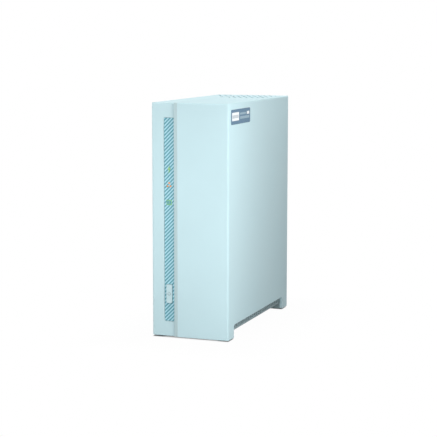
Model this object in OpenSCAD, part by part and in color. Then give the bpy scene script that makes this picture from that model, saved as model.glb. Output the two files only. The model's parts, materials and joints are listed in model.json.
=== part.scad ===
// One-bay network storage tower: two mouldings around an upright disk drive,
// with a circuit board along the left wall and a fan behind the drive.
// Millimetres. The origin is on the floor under the middle of the tower,
// +Z is up, the front faces -Y and the sliding cover is on the +X side.

/* [Tower] */
// Width of the tower
body_w = 66; // [65.8:0.1:67]
// Depth of the tower, front to back
body_d = 156; // [155.5:0.5:158]
// Height of the tower, feet included
body_h = 188.8; // [188.5:0.1:191]
// Thickness of the moulded walls
wall = 2.4; // [2.2:0.1:2.4]
// Radius of the upright edges
edge_r = 1.6; // [1.3:0.1:2.4]
// Radius of the top edges
top_r = 1.2; // [0.8:0.1:1.6]
// Height of the mouldings' lower edges above the floor
lift = 1.0; // [0.9:0.1:1.5]
// Height of the arch between the legs
arch_h = 11.5; // [11:0.1:11.5]
// Length of the front legs
front_leg = 13; // [12.5:0.5:14]
// Length of the rear legs
rear_leg = 15; // [14:0.5:16]
// Radius of the arch's upper corners
arch_r = 2.5; // [1:0.5:4]

/* [Front] */
// How far the left front panel lies behind the main one
step_d = 2; // [1.8:0.1:2.2]
// Width of the slanted edge between the two front panels
slant_w = 3.4; // [3:0.1:3.6]
// Width of the inlaid strip
strip_w = 8.2; // [7.8:0.1:8.4]
// Height of the inlaid strip
strip_h = 163.5; // [150:0.5:165]
// Height of the strip's lower end above the floor
strip_z = 13.3; // [12:0.1:14]
// Upright distance between the strip's diagonal ribs
rib_pitch = 3; // [2.5:0.1:4]
// Width of the power button
button_w = 4.7; // [4.4:0.1:5]
// Height of the power button
button_h = 15.1; // [12:0.1:16]
// Height of the power button's middle
button_z = 35.6; // [33:0.1:38]
// Height of the status window's middle
status_z = 136.1; // [132:0.1:138]
// Height of the network window's middle
network_z = 123.4; // [120:0.1:125]
// Height of the drive window's middle
activity_z = 109.4; // [106:0.1:111]

/* [Top vent] */
// Distance between the vent slots, along the width
vent_pitch = 5.2; // [4.6:0.1:6]
// Width of a vent slot
vent_w = 1.6; // [1.4:0.1:2.4]
// Length of the vented area, front to back
vent_len = 48; // [30:1:50]
// Slant of the vent slots, in degrees from front to back
vent_turn = 25; // [15:1:45]
// First vent slot, counted from the seam
vent_first = -2; // [-3:1:0]
// Last vent slot, counted from the seam
vent_last = 8; // [5:1:9]

/* [Disk drive] */
// Width of the drive, lying front to back
drive_w = 101.6; // [101.4:0.1:101.8]
// Length of the drive, standing upright
drive_l = 147; // [146:0.5:147]
// Thickness of the drive
drive_t = 26.1; // [25.4:0.1:26.1]
// Thickness of the cage's sheet
sheet = 1.2; // [1:0.1:1.2]

/* [Fan] */
// Side of the square fan frame
fan_size = 60; // [58:0.5:60]
// Depth of the fan frame
fan_t = 15; // [14.5:0.1:15]
// Number of rotor blades
blades = 7; // [5:1:9]
// Height of the fan's middle
fan_z = 146; // [145:0.5:147]

/* [Ports] */
// Height of the DC jack's middle
dc_z = 34; // [33:0.5:36]
// Height of the network socket's middle
lan_z = 55; // [54:0.5:57]
// Heights of the two USB sockets' middles
usb_z = [76, 93]; // [74:0.5:94]
// Height of the reset hole
reset_z = 107; // [106:0.5:108]

/* [Hidden] */
$fn = 64;

// Colours
shell_colour = [0.80, 0.91, 0.93];
strip_colour = [0.47, 0.70, 0.74];
tray_colour = [0.56, 0.64, 0.66];
panel_colour = [0.72, 0.82, 0.84];
rubber_colour = [0.16, 0.17, 0.18];
board_colour = [0.10, 0.36, 0.25];
chip_colour = [0.10, 0.10, 0.11];
steel_colour = [0.74, 0.76, 0.78];
cast_colour = [0.62, 0.63, 0.65];
tin_colour = [0.80, 0.81, 0.82];
black_colour = [0.09, 0.09, 0.10];
brass_colour = [0.80, 0.66, 0.36];

// Faces of the case
half_w = body_w / 2;
half_d = body_d / 2;
left_in = wall - half_w;
right_in = half_w - wall;
roof_in = body_h - wall;
main_front = -half_d;
left_front = step_d - half_d;
main_front_in = main_front + wall;
left_front_in = left_front + wall;
arch_y0 = front_leg - half_d;
arch_y1 = half_d - rear_leg;
corner_in_r = 0.8;
far = 2 * body_h;

// Gaps
fit = 0.2;
seam_gap = 0.5;
slip = 0.05;
eps = 0.5;

// Seam between the two mouldings
seam_x = 22.7 - half_w;
slant_x = seam_x - slant_w;
slant_tip = 0.5;
lap_x = seam_x - 2;
lap_d = 0.6;
lip_w = 2.1;
lip_t = 1.4;
left_vent_x = [left_in + 2, lap_x - 0.7];
right_vent_x = [seam_x + lip_w + 0.5, right_in - 3.5];

// Inlaid strip and what shows through it
strip_t = 1.2;
rib_rise = 0.25;
strip_x1 = slant_x - fit;
strip_x0 = strip_x1 - strip_w;
strip_x = (strip_x0 + strip_x1) / 2;
strip_back = left_front + strip_t;
strip_r = 1.2;
strip_gap = 0.25;
inlay_gap = 0.1;
window_face = left_front - rib_rise;
button_gap = 0.3;
button_r = 0.9;
button_face = left_front - 1;
button_flange = 0.85;
flange_t = 0.8;
flange_y0 = strip_back + fit;
flange_y1 = flange_y0 + flange_t;
light_w = 6;
light_h = 8;
light_heights = [status_z, network_z, activity_z];

// Front board, behind the strip
pcb_t = 1.6;
front_board_y0 = left_front_in + 6.6;
front_board_y1 = front_board_y0 + pcb_t;
front_board_x = [left_in + 0.6, strip_x1 + 1.4];
front_board_z = [22, 146];
front_boss_x = left_in + 3.8;
front_boss_z = [56, 92];
led_t = 1.2;
switch_t = 3.2;
switch_w = 6.2;
switch_r = 0.6;
switch_face = front_board_y0 - switch_t;
plunger_r = 1.6;
plunger_y0 = switch_face - 1.4;
plunger_y1 = switch_face + 0.8;
ribbon_z = [65.5, 74.5];
ribbon_t = 0.8;
header_z = [64, 76];

// Rear panel
panel_t = 2.4;
panel_out = half_d - 0.8;
panel_in = panel_out - panel_t;
panel_edge = 0.25;
panel_r = 1.5;
grille_r = 28;
hub_cap_r = 8;
grille_rings = 4;
grille_bar = 1.7;
grille_spokes = 6;
bore_head_d = 1.2;
head_seat = panel_out - bore_head_d;
lock_slot = [7, 3];
lock_r = 1;
lock_at = [19, 24];

// Screws
screw_r = 1.5;
hole_r = screw_r + slip;
head_r = 2.75;
head_h = 1.8;
head_room = head_r + 0.35;
boss_r = 3;
cover_screw_l = 9;
panel_screw_l = 8;
fan_screw_l = 14;
board_screw_l = 6;
backplane_screw_l = 5.4;
cage_screw_l = 8;
foot_screw_l = 6;
tray_screw_l = 7;

// Bottom tray
tray_x = right_in - 0.4;
tray_y0 = left_front_in + 0.3;
tray_y1 = panel_in - fit;
tray_under = 11.6;
tray_top = 13.6;
tray_wall = 2;
skirt_z = 5.6;
well_z = 0.6;
well_floor = 2.4;
front_well_y = arch_y0 - fit;
rear_well_y = arch_y1 + fit;
well_bays = 4;
pad = [15, 6.8];
pad_r = 2;
pad_seat = 0.6;
pad_x = 22.5;
pad_y = [(tray_y0 + front_well_y) / 2, (rear_well_y + tray_y1) / 2];
foot_screw_x = 20;
foot_screw_z = 7;
tray_screw_x = left_in + 6;
tray_screw_y = [-58, -36];
lug_top = 19.8;

// Drive and its cage
drive_x1 = right_in - 7.9;
drive_x0 = drive_x1 - drive_t;
drive_y0 = main_front + 9.6;
drive_y1 = drive_y0 + drive_w;
drive_z0 = 27;
drive_z1 = drive_z0 + drive_l;
drive_hole_x = drive_x0 + 6.35;
drive_hole_z = [drive_z0 + 28.5, drive_z0 + 130.1];
drive_side_gap = 0.9;
circuit_x1 = drive_x0 + pcb_t;
casting_x0 = circuit_x1 + 0.2;
lid_t = 1;
casting_x1 = drive_x1 - 1.6;
cage_x1 = drive_x0 - 1.6;
cage_x0 = cage_x1 - sheet;
cage_y0 = drive_y0 - drive_side_gap - sheet;
cage_y1 = drive_y1 + drive_side_gap + sheet;
cage_z = [24, 172];
cage_flange_w = 18;
cage_foot_w = 10;
cage_foot_y = [-59.5, 22];
cage_foot_x = 3;
cage_post_y = [-56, 24];
cage_post_z = 158;
cage_post_r = 3.5;
grommet_r = 3;
grommet_rim_r = 4.5;
grommet_rim_t = 0.8;

// Drive plug and the socket that it stands on
plug_y = [-53, -6];
plug_x = [drive_x0 + 0.2, drive_x0 + 9];
plug_h = 8.6;
plug_wall = 1;
blade_t = 1.2;
blade_end = 2;
plug_mid_x = (plug_x[0] + plug_x[1]) / 2;
socket_top = drive_z0 + plug_h - 2.6;

// Main board
board_x0 = left_in + 4.6;
board_face = board_x0 + pcb_t;
board_y = [-28, panel_in - 1.6];
board_z = [15, 113];
board_holes = [[-23, 20], [-23, 108], [40, 20], [52, 108]];
chip_at = [23, 73];
chip_size = 17;
chip_t = 1.4;
sink_size = 30;
sink_base = 2.4;
sink_h = 10;
sink_fins = 9;
fin_t = 1.2;
memory_at = [[-2.5, 66.5], [-2.5, 82]];
flash_at = [17, 42];
cell_at = [-14, 42];
cell_r = 10;
buzzer_at = [44, 90];
can_at = [[54, 24], [54, 34], [54, 44], [46, 24]];
coil_at = [[44, 36], [33, 28]];

// Backplane, standing in the main board's edge socket
backplane_z = 17.2;
backplane_x = [-16, 26];
backplane_y = [-54, 12];
tongue_y = [-18, 6];
backplane_hole_x = 21;
backplane_hole_y = [-48, 6];
link_x1 = board_face + 7;
link_y = [-20, 8];
link_z = [15.4, 20.6];

// Ports on the rear edge of the main board
lan_h = 13.4;
lan_w = 16;
lan_y0 = panel_in - 19.3;
port_face = panel_out - fit;
usb_h = 5.8;
usb_w = 13.1;
usb_skin = 0.5;
usb_y0 = panel_in - 14.8;
usb_lift = 0.3;
dc_w = 9;
dc_h = 11;
dc_axis_x = board_face + 6.5;
dc_y0 = panel_in - 12;
dc_collar_r = 4.2;
dc_bore_r = 3.15;
dc_pin_r = 1.05;
reset_x = board_face + 2.9;
reset_y0 = panel_in - 8.8;
reset_y1 = reset_y0 + 4.5;
reset_r = 0.9;
reset_hole_r = 1.2;

// Fan
fan_y1 = panel_in - fit;
fan_y0 = fan_y1 - fan_t;
fan_bore_r = fan_size / 2 - 1.4;
fan_screw_at = 25;
fan_rim_t = 3;
rotor_y0 = fan_y0 + 0.6;
rotor_l = 11.6;
hub_r = 13.5;
hub_wall = 1.3;
tip_gap = 1.1;
base_t = 2.2;
base_y0 = fan_y1 - base_t;
bearing_r = 3;
shaft_r = 1.5;
shaft_fit = 0.03;
tube_r = 4.4;
tube_y0 = rotor_y0 + 3.2;

// Screws that hold the cover and the rear panel
cover_screw_at = [[24, 181.4], [27, 62]];
shell_screw_at = [-26, 181.2];
boss_y0 = panel_in - 11;

// Lead of the fan, from its plug to the fan frame
plug_top_x = board_face + 10.8;
fan_header_at = [44, 103];
fan_header_h = 5;
wire_r = 0.55;
wire_step = 1.3;
lead_route = [
  [plug_top_x, 44, 103], [plug_top_x + 1, 44, 103], [plug_top_x + 2.5, 44, 103],
  [plug_top_x + 4.2, 46, 104], [plug_top_x + 4, 51, 106.5], [plug_top_x + 1, 58, 109],
  [plug_top_x - 1.5, 63, 110.5], [plug_top_x - 2.4, 65.6, 112], [plug_top_x - 2.4, 66, 114],
  [plug_top_x - 2.4, 66, 115], [plug_top_x - 2.4, 66, fan_z - fan_size / 2]
];

// Label on the side
label_size = [46, 11.7];
label_at = [-49.7, 177.8];
label_r = 1.5;
label_t = 0.3;

// Box between two values on each axis
module span(x, y, z) {
  translate([x[0], y[0], z[0]])
    cube([x[1] - x[0], y[1] - y[0], z[1] - z[0]]);
}

// Round bars along the axes, between two values
module bar_x(x, y, z, r) {
  translate([x[0], y, z]) rotate([0, 90, 0]) cylinder(r = r, h = x[1] - x[0]);
}

module bar_y(x, y, z, r) {
  translate([x, y[0], z]) rotate([-90, 0, 0]) cylinder(r = r, h = y[1] - y[0]);
}

module bar_z(x, y, z, r) {
  translate([x, y, z[0]]) cylinder(r = r, h = z[1] - z[0]);
}

module rounded_rect(w, h, r) {
  square([w - 2 * r, h], center = true);
  square([w, h - 2 * r], center = true);
  for (sx = [-1, 1], sy = [-1, 1])
    translate([sx * (w / 2 - r), sy * (h / 2 - r)]) circle(r);
}

// Flat pieces that face the front, or the side, drawn as seen from there
module upright_y(y) {
  translate([0, y[1], 0]) rotate([90, 0, 0]) linear_extrude(y[1] - y[0]) children();
}

module upright_x(x) {
  translate([x[0], 0, 0]) rotate([90, 0, 90]) linear_extrude(x[1] - x[0]) children();
}

module facing_back() rotate([-90, 0, 0]) children();
module facing_front() rotate([90, 0, 0]) children();
module facing_right() rotate([0, 90, 0]) children();
module facing_down() rotate([180, 0, 0]) children();

// Outer form of the tower whose front face lies at y0
module tower_form(y0) {
  depth = half_d - y0;
  mid_y = (half_d + y0) / 2;
  intersection() {
    translate([0, mid_y, lift]) linear_extrude(body_h - lift) rounded_rect(body_w, depth, edge_r);
    upright_y([-body_d, body_d]) rounded_rect(body_w, 2 * body_h, top_r);
    upright_x([-body_w, body_w]) translate([mid_y, 0]) rounded_rect(depth, 2 * body_h, top_r);
  }
}

// Hollow of a tower moulding, open at the back and below
module tower_cavity(y0) {
  depth = half_d - y0;
  translate([0, y0 + wall + depth / 2, 0])
    linear_extrude(roof_in) rounded_rect(body_w - 2 * wall, depth, corner_in_r);
}

// Arch between the front and rear legs, right through the tower
module arch() {
  upright_x([-body_w, body_w]) translate([(arch_y0 + arch_y1) / 2, 0])
    rounded_rect(arch_y1 - arch_y0, 2 * arch_h, arch_r);
}

// Slanted slots through the roof, kept between two values of x
module vent_slots(x) {
  y1 = half_d - 8;
  y0 = y1 - vent_len;
  intersection() {
    span(x, [y0, y1], [roof_in - wall, body_h + wall]);
    for (i = [vent_first:vent_last])
      translate([seam_x + vent_pitch * (i + 0.5), (y0 + y1) / 2, roof_in])
        rotate(vent_turn) cube([vent_w, 2 * vent_len, 4 * wall], center = true);
  }
}

// Pan-head screw with a cross recess, its head above z = 0
module screw(length) {
  cross = [3, 0.8, 1];
  difference() {
    union() {
      translate([0, 0, -length]) cylinder(r = screw_r, h = length);
      cylinder(r = head_r, h = head_h / 2);
      translate([0, 0, head_h / 2]) cylinder(r1 = head_r, r2 = 0.7 * head_r, h = head_h / 2);
    }
    for (turn = [0, 90])
      rotate(turn) translate([-cross[0] / 2, -cross[1] / 2, head_h - cross[2]]) cube(cross + [0, 0, 1]);
  }
}

// Case

module left_shell() {
  seam_edge = seam_x - seam_gap / 2;
  window = [7.2, button_h + 2.4];
  hole_depth = 10;
  color(shell_colour)
    difference() {
      union() {
        difference() {
          tower_form(left_front);
          tower_cavity(left_front);
          span([seam_edge, body_w], [-body_d, body_d], [0, far]);
          span([lap_x, body_w], [-body_d, left_front + lap_d], [0, far]);
          arch();
        }
        // Lips that run behind the edges of the cover
        span([lap_x, seam_x + lip_w], [left_front + lap_d, left_front_in], [lift, roof_in]);
        span([seam_edge - wall, seam_edge], [left_front_in, panel_in - fit],
             [roof_in - lip_t, roof_in + eps]);
        span([seam_edge - eps, seam_x + lip_w], [left_front_in - eps, panel_in - fit],
             [roof_in - lip_t, roof_in - fit]);
        // Bosses of the main board, the front board and the drive cage
        for (at = board_holes)
          bar_x([left_in - eps, board_x0], at[0], at[1], boss_r);
        for (z = front_boss_z)
          bar_y(front_boss_x, [left_front_in - eps, front_board_y0], z, boss_r - fit);
        for (y = cage_post_y)
          bar_x([left_in - eps, cage_x0], y, cage_post_z, cage_post_r);
        // Lugs over the tray, and the boss of the rear panel
        for (y = tray_screw_y)
          span([left_in - eps, tray_screw_x + boss_r], [y - boss_r, y + boss_r], [tray_top + fit, lug_top]);
        bar_y(shell_screw_at[0], [boss_y0, panel_in - fit], shell_screw_at[1], boss_r);
        span([shell_screw_at[0] - boss_r, shell_screw_at[0] + boss_r], [boss_y0, panel_in - fit],
             [shell_screw_at[1], roof_in + eps]);
      }
      // Seat of the strip, and the openings behind it
      upright_y([left_front - wall, strip_back]) strip_outline(strip_gap);
      upright_y([left_front, left_front_in + wall])
        translate([strip_x, button_z]) square(window, center = true);
      for (z = light_heights)
        upright_y([left_front, left_front_in + wall])
          translate([strip_x, z]) square([light_w + 2 * fit, light_h + 2 * fit], center = true);
      vent_slots(left_vent_x);
      // Screw holes
      for (at = board_holes)
        bar_x([left_in - 1, board_x0 + eps], at[0], at[1], hole_r);
      for (z = front_boss_z)
        bar_y(front_boss_x, [left_front_in + eps, front_board_y0 + eps], z, hole_r);
      for (y = cage_post_y)
        bar_x([cage_x0 - hole_depth, cage_x0 + eps], y, cage_post_z, hole_r);
      for (y = tray_screw_y)
        bar_z(tray_screw_x, y, [tray_top, lug_top - 1], hole_r);
      bar_y(shell_screw_at[0], [boss_y0 + 1, panel_in], shell_screw_at[1], hole_r);
    }
}

module right_cover() {
  rail = [2, 1.6];
  rail_end = arch_y1 - 8;
  rib_rows = [52, 104, 156];
  rib_depth = 1.2;
  top_screw = cover_screw_at[0];
  side_screw = cover_screw_at[1];
  color(shell_colour)
    difference() {
      union() {
        difference() {
          tower_form(main_front);
          tower_cavity(main_front);
          span([-body_w, seam_x + seam_gap / 2], [-body_d, body_d], [0, far]);
          arch();
        }
        // Slanted edge that laps over the left front panel
        intersection() {
          tower_form(main_front);
          linear_extrude(far) polygon([
            [seam_x, main_front], [slant_x, left_front - fit - slant_tip], [slant_x, left_front - fit],
            [lap_x + 2 * fit, left_front - fit], [lap_x + 2 * fit, main_front_in],
            [seam_x + 2 * eps, main_front_in], [seam_x + 2 * eps, main_front]
          ]);
        }
        // Rail over the edge of the tray, and ribs along the side
        span([right_in - rail[0], right_in + eps], [main_front_in - eps, rail_end],
             [tray_top + 2 * fit, tray_top + 2 * fit + rail[1]]);
        for (z = rib_rows)
          span([right_in - rib_depth, right_in + eps], [main_front_in - eps, rail_end], [z, z + rib_depth]);
        // Bosses of the two rear screws
        for (at = cover_screw_at)
          bar_y(at[0], [boss_y0, panel_in - fit], at[1], boss_r);
        span([top_screw[0] - boss_r, top_screw[0] + boss_r], [boss_y0, panel_in - fit],
             [top_screw[1], roof_in + eps]);
        span([side_screw[0], right_in + eps], [boss_y0, panel_in - fit],
             [side_screw[1] - boss_r, side_screw[1] + boss_r]);
      }
      for (at = cover_screw_at)
        bar_y(at[0], [boss_y0 + 1, panel_in], at[1], hole_r);
      vent_slots(right_vent_x);
      upright_x([half_w - label_t, body_w])
        translate(label_at) rounded_rect(label_size[0] + fit, label_size[1] + fit, label_r);
    }
}

// Ring slots of the fan guard, parted by spokes
module grille_slots() {
  step = (grille_r - hub_cap_r) / grille_rings;
  spoke_w = 2;
  for (i = [0:grille_rings - 1])
    upright_y([panel_in - 1, half_d]) translate([0, fan_z])
      difference() {
        circle(hub_cap_r + step * (i + 1));
        circle(hub_cap_r + step * i + grille_bar);
        for (k = [0:grille_spokes / 2 - 1])
          rotate(k * 360 / grille_spokes) square([2 * fan_size, spoke_w], center = true);
      }
}

module rear_panel() {
  bottom = lift + 0.3;
  top = roof_in - panel_edge;
  width = 2 * (right_in - panel_edge);
  through = [panel_in - 1, half_d];
  seats = concat(
    cover_screw_at, [shell_screw_at],
    [for (side = [-1, 1]) [side * foot_screw_x, foot_screw_z]],
    [for (sx = [-1, 1], sz = [-1, 1]) [sx * fan_screw_at, fan_z + sz * fan_screw_at]]
  );
  color(panel_colour)
    difference() {
      upright_y([panel_in, panel_out])
        translate([0, (bottom + top) / 2]) rounded_rect(width, top - bottom, panel_r);
      grille_slots();
      for (at = seats) {
        bar_y(at[0], through, at[1], hole_r);
        bar_y(at[0], [head_seat, half_d], at[1], head_room);
      }
      span([board_face - fit, board_face + lan_h + fit], through,
           [lan_z - lan_w / 2 - fit, lan_z + lan_w / 2 + fit]);
      for (z = usb_z)
        span([board_face + usb_lift - fit, board_face + usb_lift + usb_h + fit], through,
             [z - usb_w / 2 - fit, z + usb_w / 2 + fit]);
      bar_y(dc_axis_x, through, dc_z, dc_collar_r + fit);
      bar_y(reset_x, through, reset_z, reset_hole_r);
      upright_y(through) translate(lock_at) rounded_rect(lock_slot[0], lock_slot[1], lock_r);
    }
}

module bottom_tray() {
  rib_t = 1.6;
  inner_x = tray_x - tray_wall;
  bay_w = (2 * inner_x - (well_bays - 1) * rib_t) / well_bays;
  post_r = 3;
  slot_pitch = 5;
  slot_w = 2.4;
  slot_z = [skirt_z + 1.3, tray_under - 0.9];
  slot_reach = 12;
  groove_d = 1.1;
  air_slot = [11, 2.6];
  air_x = [-17, 12.2];
  air_rows = 6;
  air_pitch = 6.5;
  color(tray_colour)
    difference() {
      union() {
        difference() {
          union() {
            span([-tray_x, tray_x], [tray_y0, tray_y1], [tray_under, tray_top]);
            span([-tray_x, tray_x], [tray_y0, front_well_y], [well_z, tray_top]);
            span([-tray_x, tray_x], [rear_well_y, tray_y1], [well_z, tray_top]);
          }
          // Hollow foot wells, open at the top, with ribs between their bays
          for (i = [0:well_bays - 1], y = [[tray_y0, front_well_y], [rear_well_y, tray_y1]])
            span([-inner_x + i * (bay_w + rib_t), -inner_x + i * (bay_w + rib_t) + bay_w],
                 [y[0] + tray_wall, y[1] - tray_wall], [well_z + well_floor, tray_top + 1]);
        }
        // Skirts along the arch
        for (side = [0, 1]) mirror([side, 0, 0])
          span([inner_x, tray_x], [front_well_y - eps, rear_well_y + eps], [skirt_z, tray_under + eps]);
        // Bosses of the rear panel, the cage's feet and the backplane
        for (side = [-1, 1])
          bar_y(side * foot_screw_x, [rear_well_y + 1, tray_y1], foot_screw_z, boss_r);
        for (y = cage_foot_y)
          bar_z(cage_foot_x, y, [skirt_z + fit, tray_under + eps], post_r);
        for (y = backplane_hole_y)
          bar_z(backplane_hole_x, y, [tray_top - eps, backplane_z], post_r);
      }
      for (side = [0, 1], i = [-slot_reach:slot_reach]) mirror([side, 0, 0])
        span([tray_x - groove_d, body_w], [i * slot_pitch - slot_w / 2, i * slot_pitch + slot_w / 2], slot_z);
      for (x = air_x, i = [-air_rows:air_rows])
        translate([x, i * air_pitch, tray_under - 1])
          linear_extrude(tray_top - tray_under + 2) square(air_slot, center = true);
      for (x = [-pad_x, pad_x], y = pad_y)
        translate([x, y, 0]) linear_extrude(well_z + pad_seat)
          rounded_rect(pad[0] + fit, pad[1] + fit, pad_r);
      for (side = [-1, 1])
        bar_y(side * foot_screw_x, [rear_well_y + 2, half_d], foot_screw_z, hole_r);
      for (y = cage_foot_y)
        bar_z(cage_foot_x, y, [skirt_z + 1, tray_top + 1], hole_r);
      for (y = backplane_hole_y)
        bar_z(backplane_hole_x, y, [tray_under - 1, backplane_z + 1], hole_r);
      for (y = tray_screw_y)
        bar_z(tray_screw_x, y, [tray_under - 1, tray_top + 1], hole_r);
    }
}

module rubber_feet() {
  color(rubber_colour)
    for (x = [-pad_x, pad_x], y = pad_y)
      translate([x, y, 0]) linear_extrude(well_z + pad_seat) rounded_rect(pad[0], pad[1], pad_r);
}

// Front strip, its button and its lights

// Outlines of the three windows, grown by a small margin
module status_outline(grow) {
  half = [[0.7 + grow, 3.4 + 3 * grow], [-1.4 - 2 * grow, -0.5 - grow], [-0.1 - 1.3 * grow, -0.5 - grow]];
  polygon(concat(half, -half));
}

module network_outline(grow) {
  dot_r = 0.75;
  for (at = [[0, 1.5], [-1.25, -1], [1.25, -1]])
    translate(at) circle(dot_r + grow);
}

module activity_outline(grow) {
  square([4.4 + 2 * grow, 4 + 2 * grow], center = true);
}

// Outline of the strip, grown by a margin, with its lower left corner rounded
module strip_outline(grow) {
  r = strip_r + grow;
  size = [strip_w + 2 * grow, strip_h + 2 * grow];
  translate([strip_x0 - grow, strip_z - grow]) {
    translate([0, r]) square(size - [0, r]);
    translate([r, 0]) square(size - [r, 0]);
    translate([r, r]) circle(r);
  }
}

module front_strip() {
  rib_w = rib_pitch / 2 * cos(45);
  ribs = ceil((strip_h + strip_w) / rib_pitch);
  color(strip_colour)
    difference() {
      union() {
        upright_y([left_front, strip_back]) strip_outline(0);
        intersection() {
          upright_y([left_front - rib_rise, strip_back]) strip_outline(0);
          for (i = [0:ribs])
            translate([strip_x, left_front, strip_z - strip_w / 2 + i * rib_pitch])
              rotate([0, -45, 0]) cube([2 * strip_w, 2 * rib_rise, rib_w], center = true);
        }
      }
      upright_y([left_front - 1, strip_back + 1]) {
        translate([strip_x, button_z])
          rounded_rect(button_w + 2 * button_gap, button_h + 2 * button_gap, button_r + button_gap);
        translate([strip_x, status_z]) status_outline(inlay_gap);
        translate([strip_x, network_z]) network_outline(inlay_gap);
        translate([strip_x, activity_z]) activity_outline(inlay_gap);
      }
    }
}

// Clear block behind the strip, with the window standing through it
module light_guide(z) {
  guide_y0 = strip_back + fit / 2;
  guide_y1 = front_board_y0 - led_t - fit;
  upright_y([guide_y0, guide_y1]) translate([strip_x, z]) square([light_w, light_h], center = true);
  upright_y([window_face, guide_y0 + eps]) translate([strip_x, z]) children();
}

module status_light() {
  color([0.66, 0.86, 0.55]) light_guide(status_z) status_outline(0);
}

module network_light() {
  color([0.96, 0.72, 0.50]) light_guide(network_z) network_outline(0);
}

module activity_light() {
  frame = 0.6;
  pane = [1.3, 2.8];
  recess = 0.15;
  color([0.60, 0.83, 0.68])
    difference() {
      light_guide(activity_z) activity_outline(0);
      for (side = [-1, 1])
        upright_y([window_face - 1, window_face + recess])
          translate([strip_x + side * (pane[0] + frame) / 2, activity_z]) square(pane, center = true);
    }
}

module power_button() {
  stem_r = 1.6;
  color(shell_colour) {
    upright_y([button_face, flange_y1]) translate([strip_x, button_z])
      rounded_rect(button_w, button_h, button_r);
    upright_y([flange_y0, flange_y1]) translate([strip_x, button_z])
      rounded_rect(button_w + 2 * button_flange, button_h + 2 * button_flange, button_r);
    bar_y(strip_x, [flange_y1 - eps, plunger_y0], button_z, stem_r);
  }
}

module power_switch() {
  hole_end = plunger_y1 + 1.1;
  color(black_colour)
    difference() {
      upright_y([switch_face, front_board_y0]) translate([strip_x, button_z])
        rounded_rect(switch_w, switch_w, switch_r);
      bar_y(strip_x, [switch_face - 1, hole_end], button_z, plunger_r + 3 * slip);
    }
}

module power_switch_plunger() {
  color([0.85, 0.85, 0.83]) bar_y(strip_x, [plunger_y0, plunger_y1], button_z, plunger_r);
}

module front_board() {
  color(board_colour)
    difference() {
      span(front_board_x, [front_board_y0, front_board_y1], front_board_z);
      for (z = front_boss_z)
        bar_y(front_boss_x, [front_board_y0 - 1, front_board_y1 + 1], z, hole_r);
    }
}

module indicator_leds() {
  led = [2, 3.2];
  led_r = 0.3;
  color([0.93, 0.93, 0.86])
    for (z = light_heights)
      upright_y([front_board_y0 - led_t, front_board_y0]) translate([strip_x, z])
        rounded_rect(led[0], led[1], led_r);
}

module front_header() {
  w = 7;
  depth = 5;
  color([0.92, 0.91, 0.86])
    difference() {
      span([strip_x - w / 2, strip_x + w / 2], [front_board_y1, front_board_y1 + depth], header_z);
      span([strip_x - ribbon_t, strip_x + ribbon_t], [front_board_y1 + depth / 2, half_d],
           [ribbon_z[0] - fit, ribbon_z[1] + fit]);
    }
}

module panel_header() {
  w = 6;
  depth = 7;
  x = board_face + w / 2;
  color([0.92, 0.91, 0.86])
    difference() {
      span([board_face, board_face + w], [board_y[0] + fit, board_y[0] + depth], header_z);
      span([x - ribbon_t, x + ribbon_t], [-half_d, board_y[0] + depth / 2],
           [ribbon_z[0] - fit, ribbon_z[1] + fit]);
    }
}

// Flat ribbon in an easy S between the two headers
module panel_ribbon() {
  x0 = strip_x;
  x1 = board_face + 3;
  y0 = front_board_y1 + 2.8;
  y1 = board_y[0] + 3.2;
  straight = 4;
  steps = 24;
  function bend(t) = x0 + (x1 - x0) * (1 - cos(180 * t)) / 2;
  function along(t) = y0 + straight + (y1 - y0 - 2 * straight) * t;
  line = concat(
    [[x0, y0]],
    [for (i = [0:steps]) [bend(i / steps), along(i / steps)]],
    [[x1, y1]]
  );
  color([0.80, 0.81, 0.83])
    translate([0, 0, ribbon_z[0]]) linear_extrude(ribbon_z[1] - ribbon_z[0])
      polygon(concat(
        [for (p = line) p - [ribbon_t / 2, 0]],
        [for (i = [len(line) - 1:-1:0]) line[i] + [ribbon_t / 2, 0]]
      ));
}

// Main board and what is on it

module main_board() {
  color(board_colour)
    difference() {
      span([board_x0, board_face], board_y, board_z);
      for (at = board_holes)
        bar_x([board_x0 - 1, board_face + 1], at[0], at[1], hole_r);
    }
}

// Block on the face of the main board, about a point on it
module on_board(at, size, height, r = 0.4) {
  upright_x([board_face, board_face + height]) translate(at) rounded_rect(size[0], size[1], r);
}

module processor() {
  color(chip_colour) on_board(chip_at, [chip_size, chip_size], chip_t);
}

module heat_sink() {
  x0 = board_face + chip_t;
  pitch = (sink_size - fin_t) / (sink_fins - 1);
  color(cast_colour) {
    upright_x([x0, x0 + sink_base]) translate(chip_at) square(sink_size, center = true);
    for (i = [0:sink_fins - 1])
      upright_x([x0 + sink_base - eps, x0 + sink_h])
        translate(chip_at + [i * pitch - (sink_size - fin_t) / 2, 0])
          square([fin_t, sink_size], center = true);
  }
}

module memory_chips() {
  size = [10.5, 13.3];
  height = 1.2;
  color(chip_colour)
    for (at = memory_at)
      on_board(at, size, height);
}

module flash_chip() {
  size = [18.4, 12];
  height = 1.2;
  color(chip_colour) on_board(flash_at, size, height);
}

module capacitors() {
  can_r = 3.15;
  can_h = 9;
  groove = 0.25;
  groove_w = 0.6;
  groove_x = board_face + 1.4;
  color(tin_colour)
    for (at = can_at)
      difference() {
        bar_x([board_face, board_face + can_h], at[0], at[1], can_r);
        difference() {
          bar_x([groove_x, groove_x + groove_w], at[0], at[1], can_r + 1);
          bar_x([groove_x - 1, groove_x + 2], at[0], at[1], can_r - groove);
        }
      }
}

module inductors() {
  size = [7, 7];
  height = 4.2;
  corner_r = 1;
  color([0.24, 0.24, 0.25])
    for (at = coil_at)
      on_board(at, size, height, corner_r);
}

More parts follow.
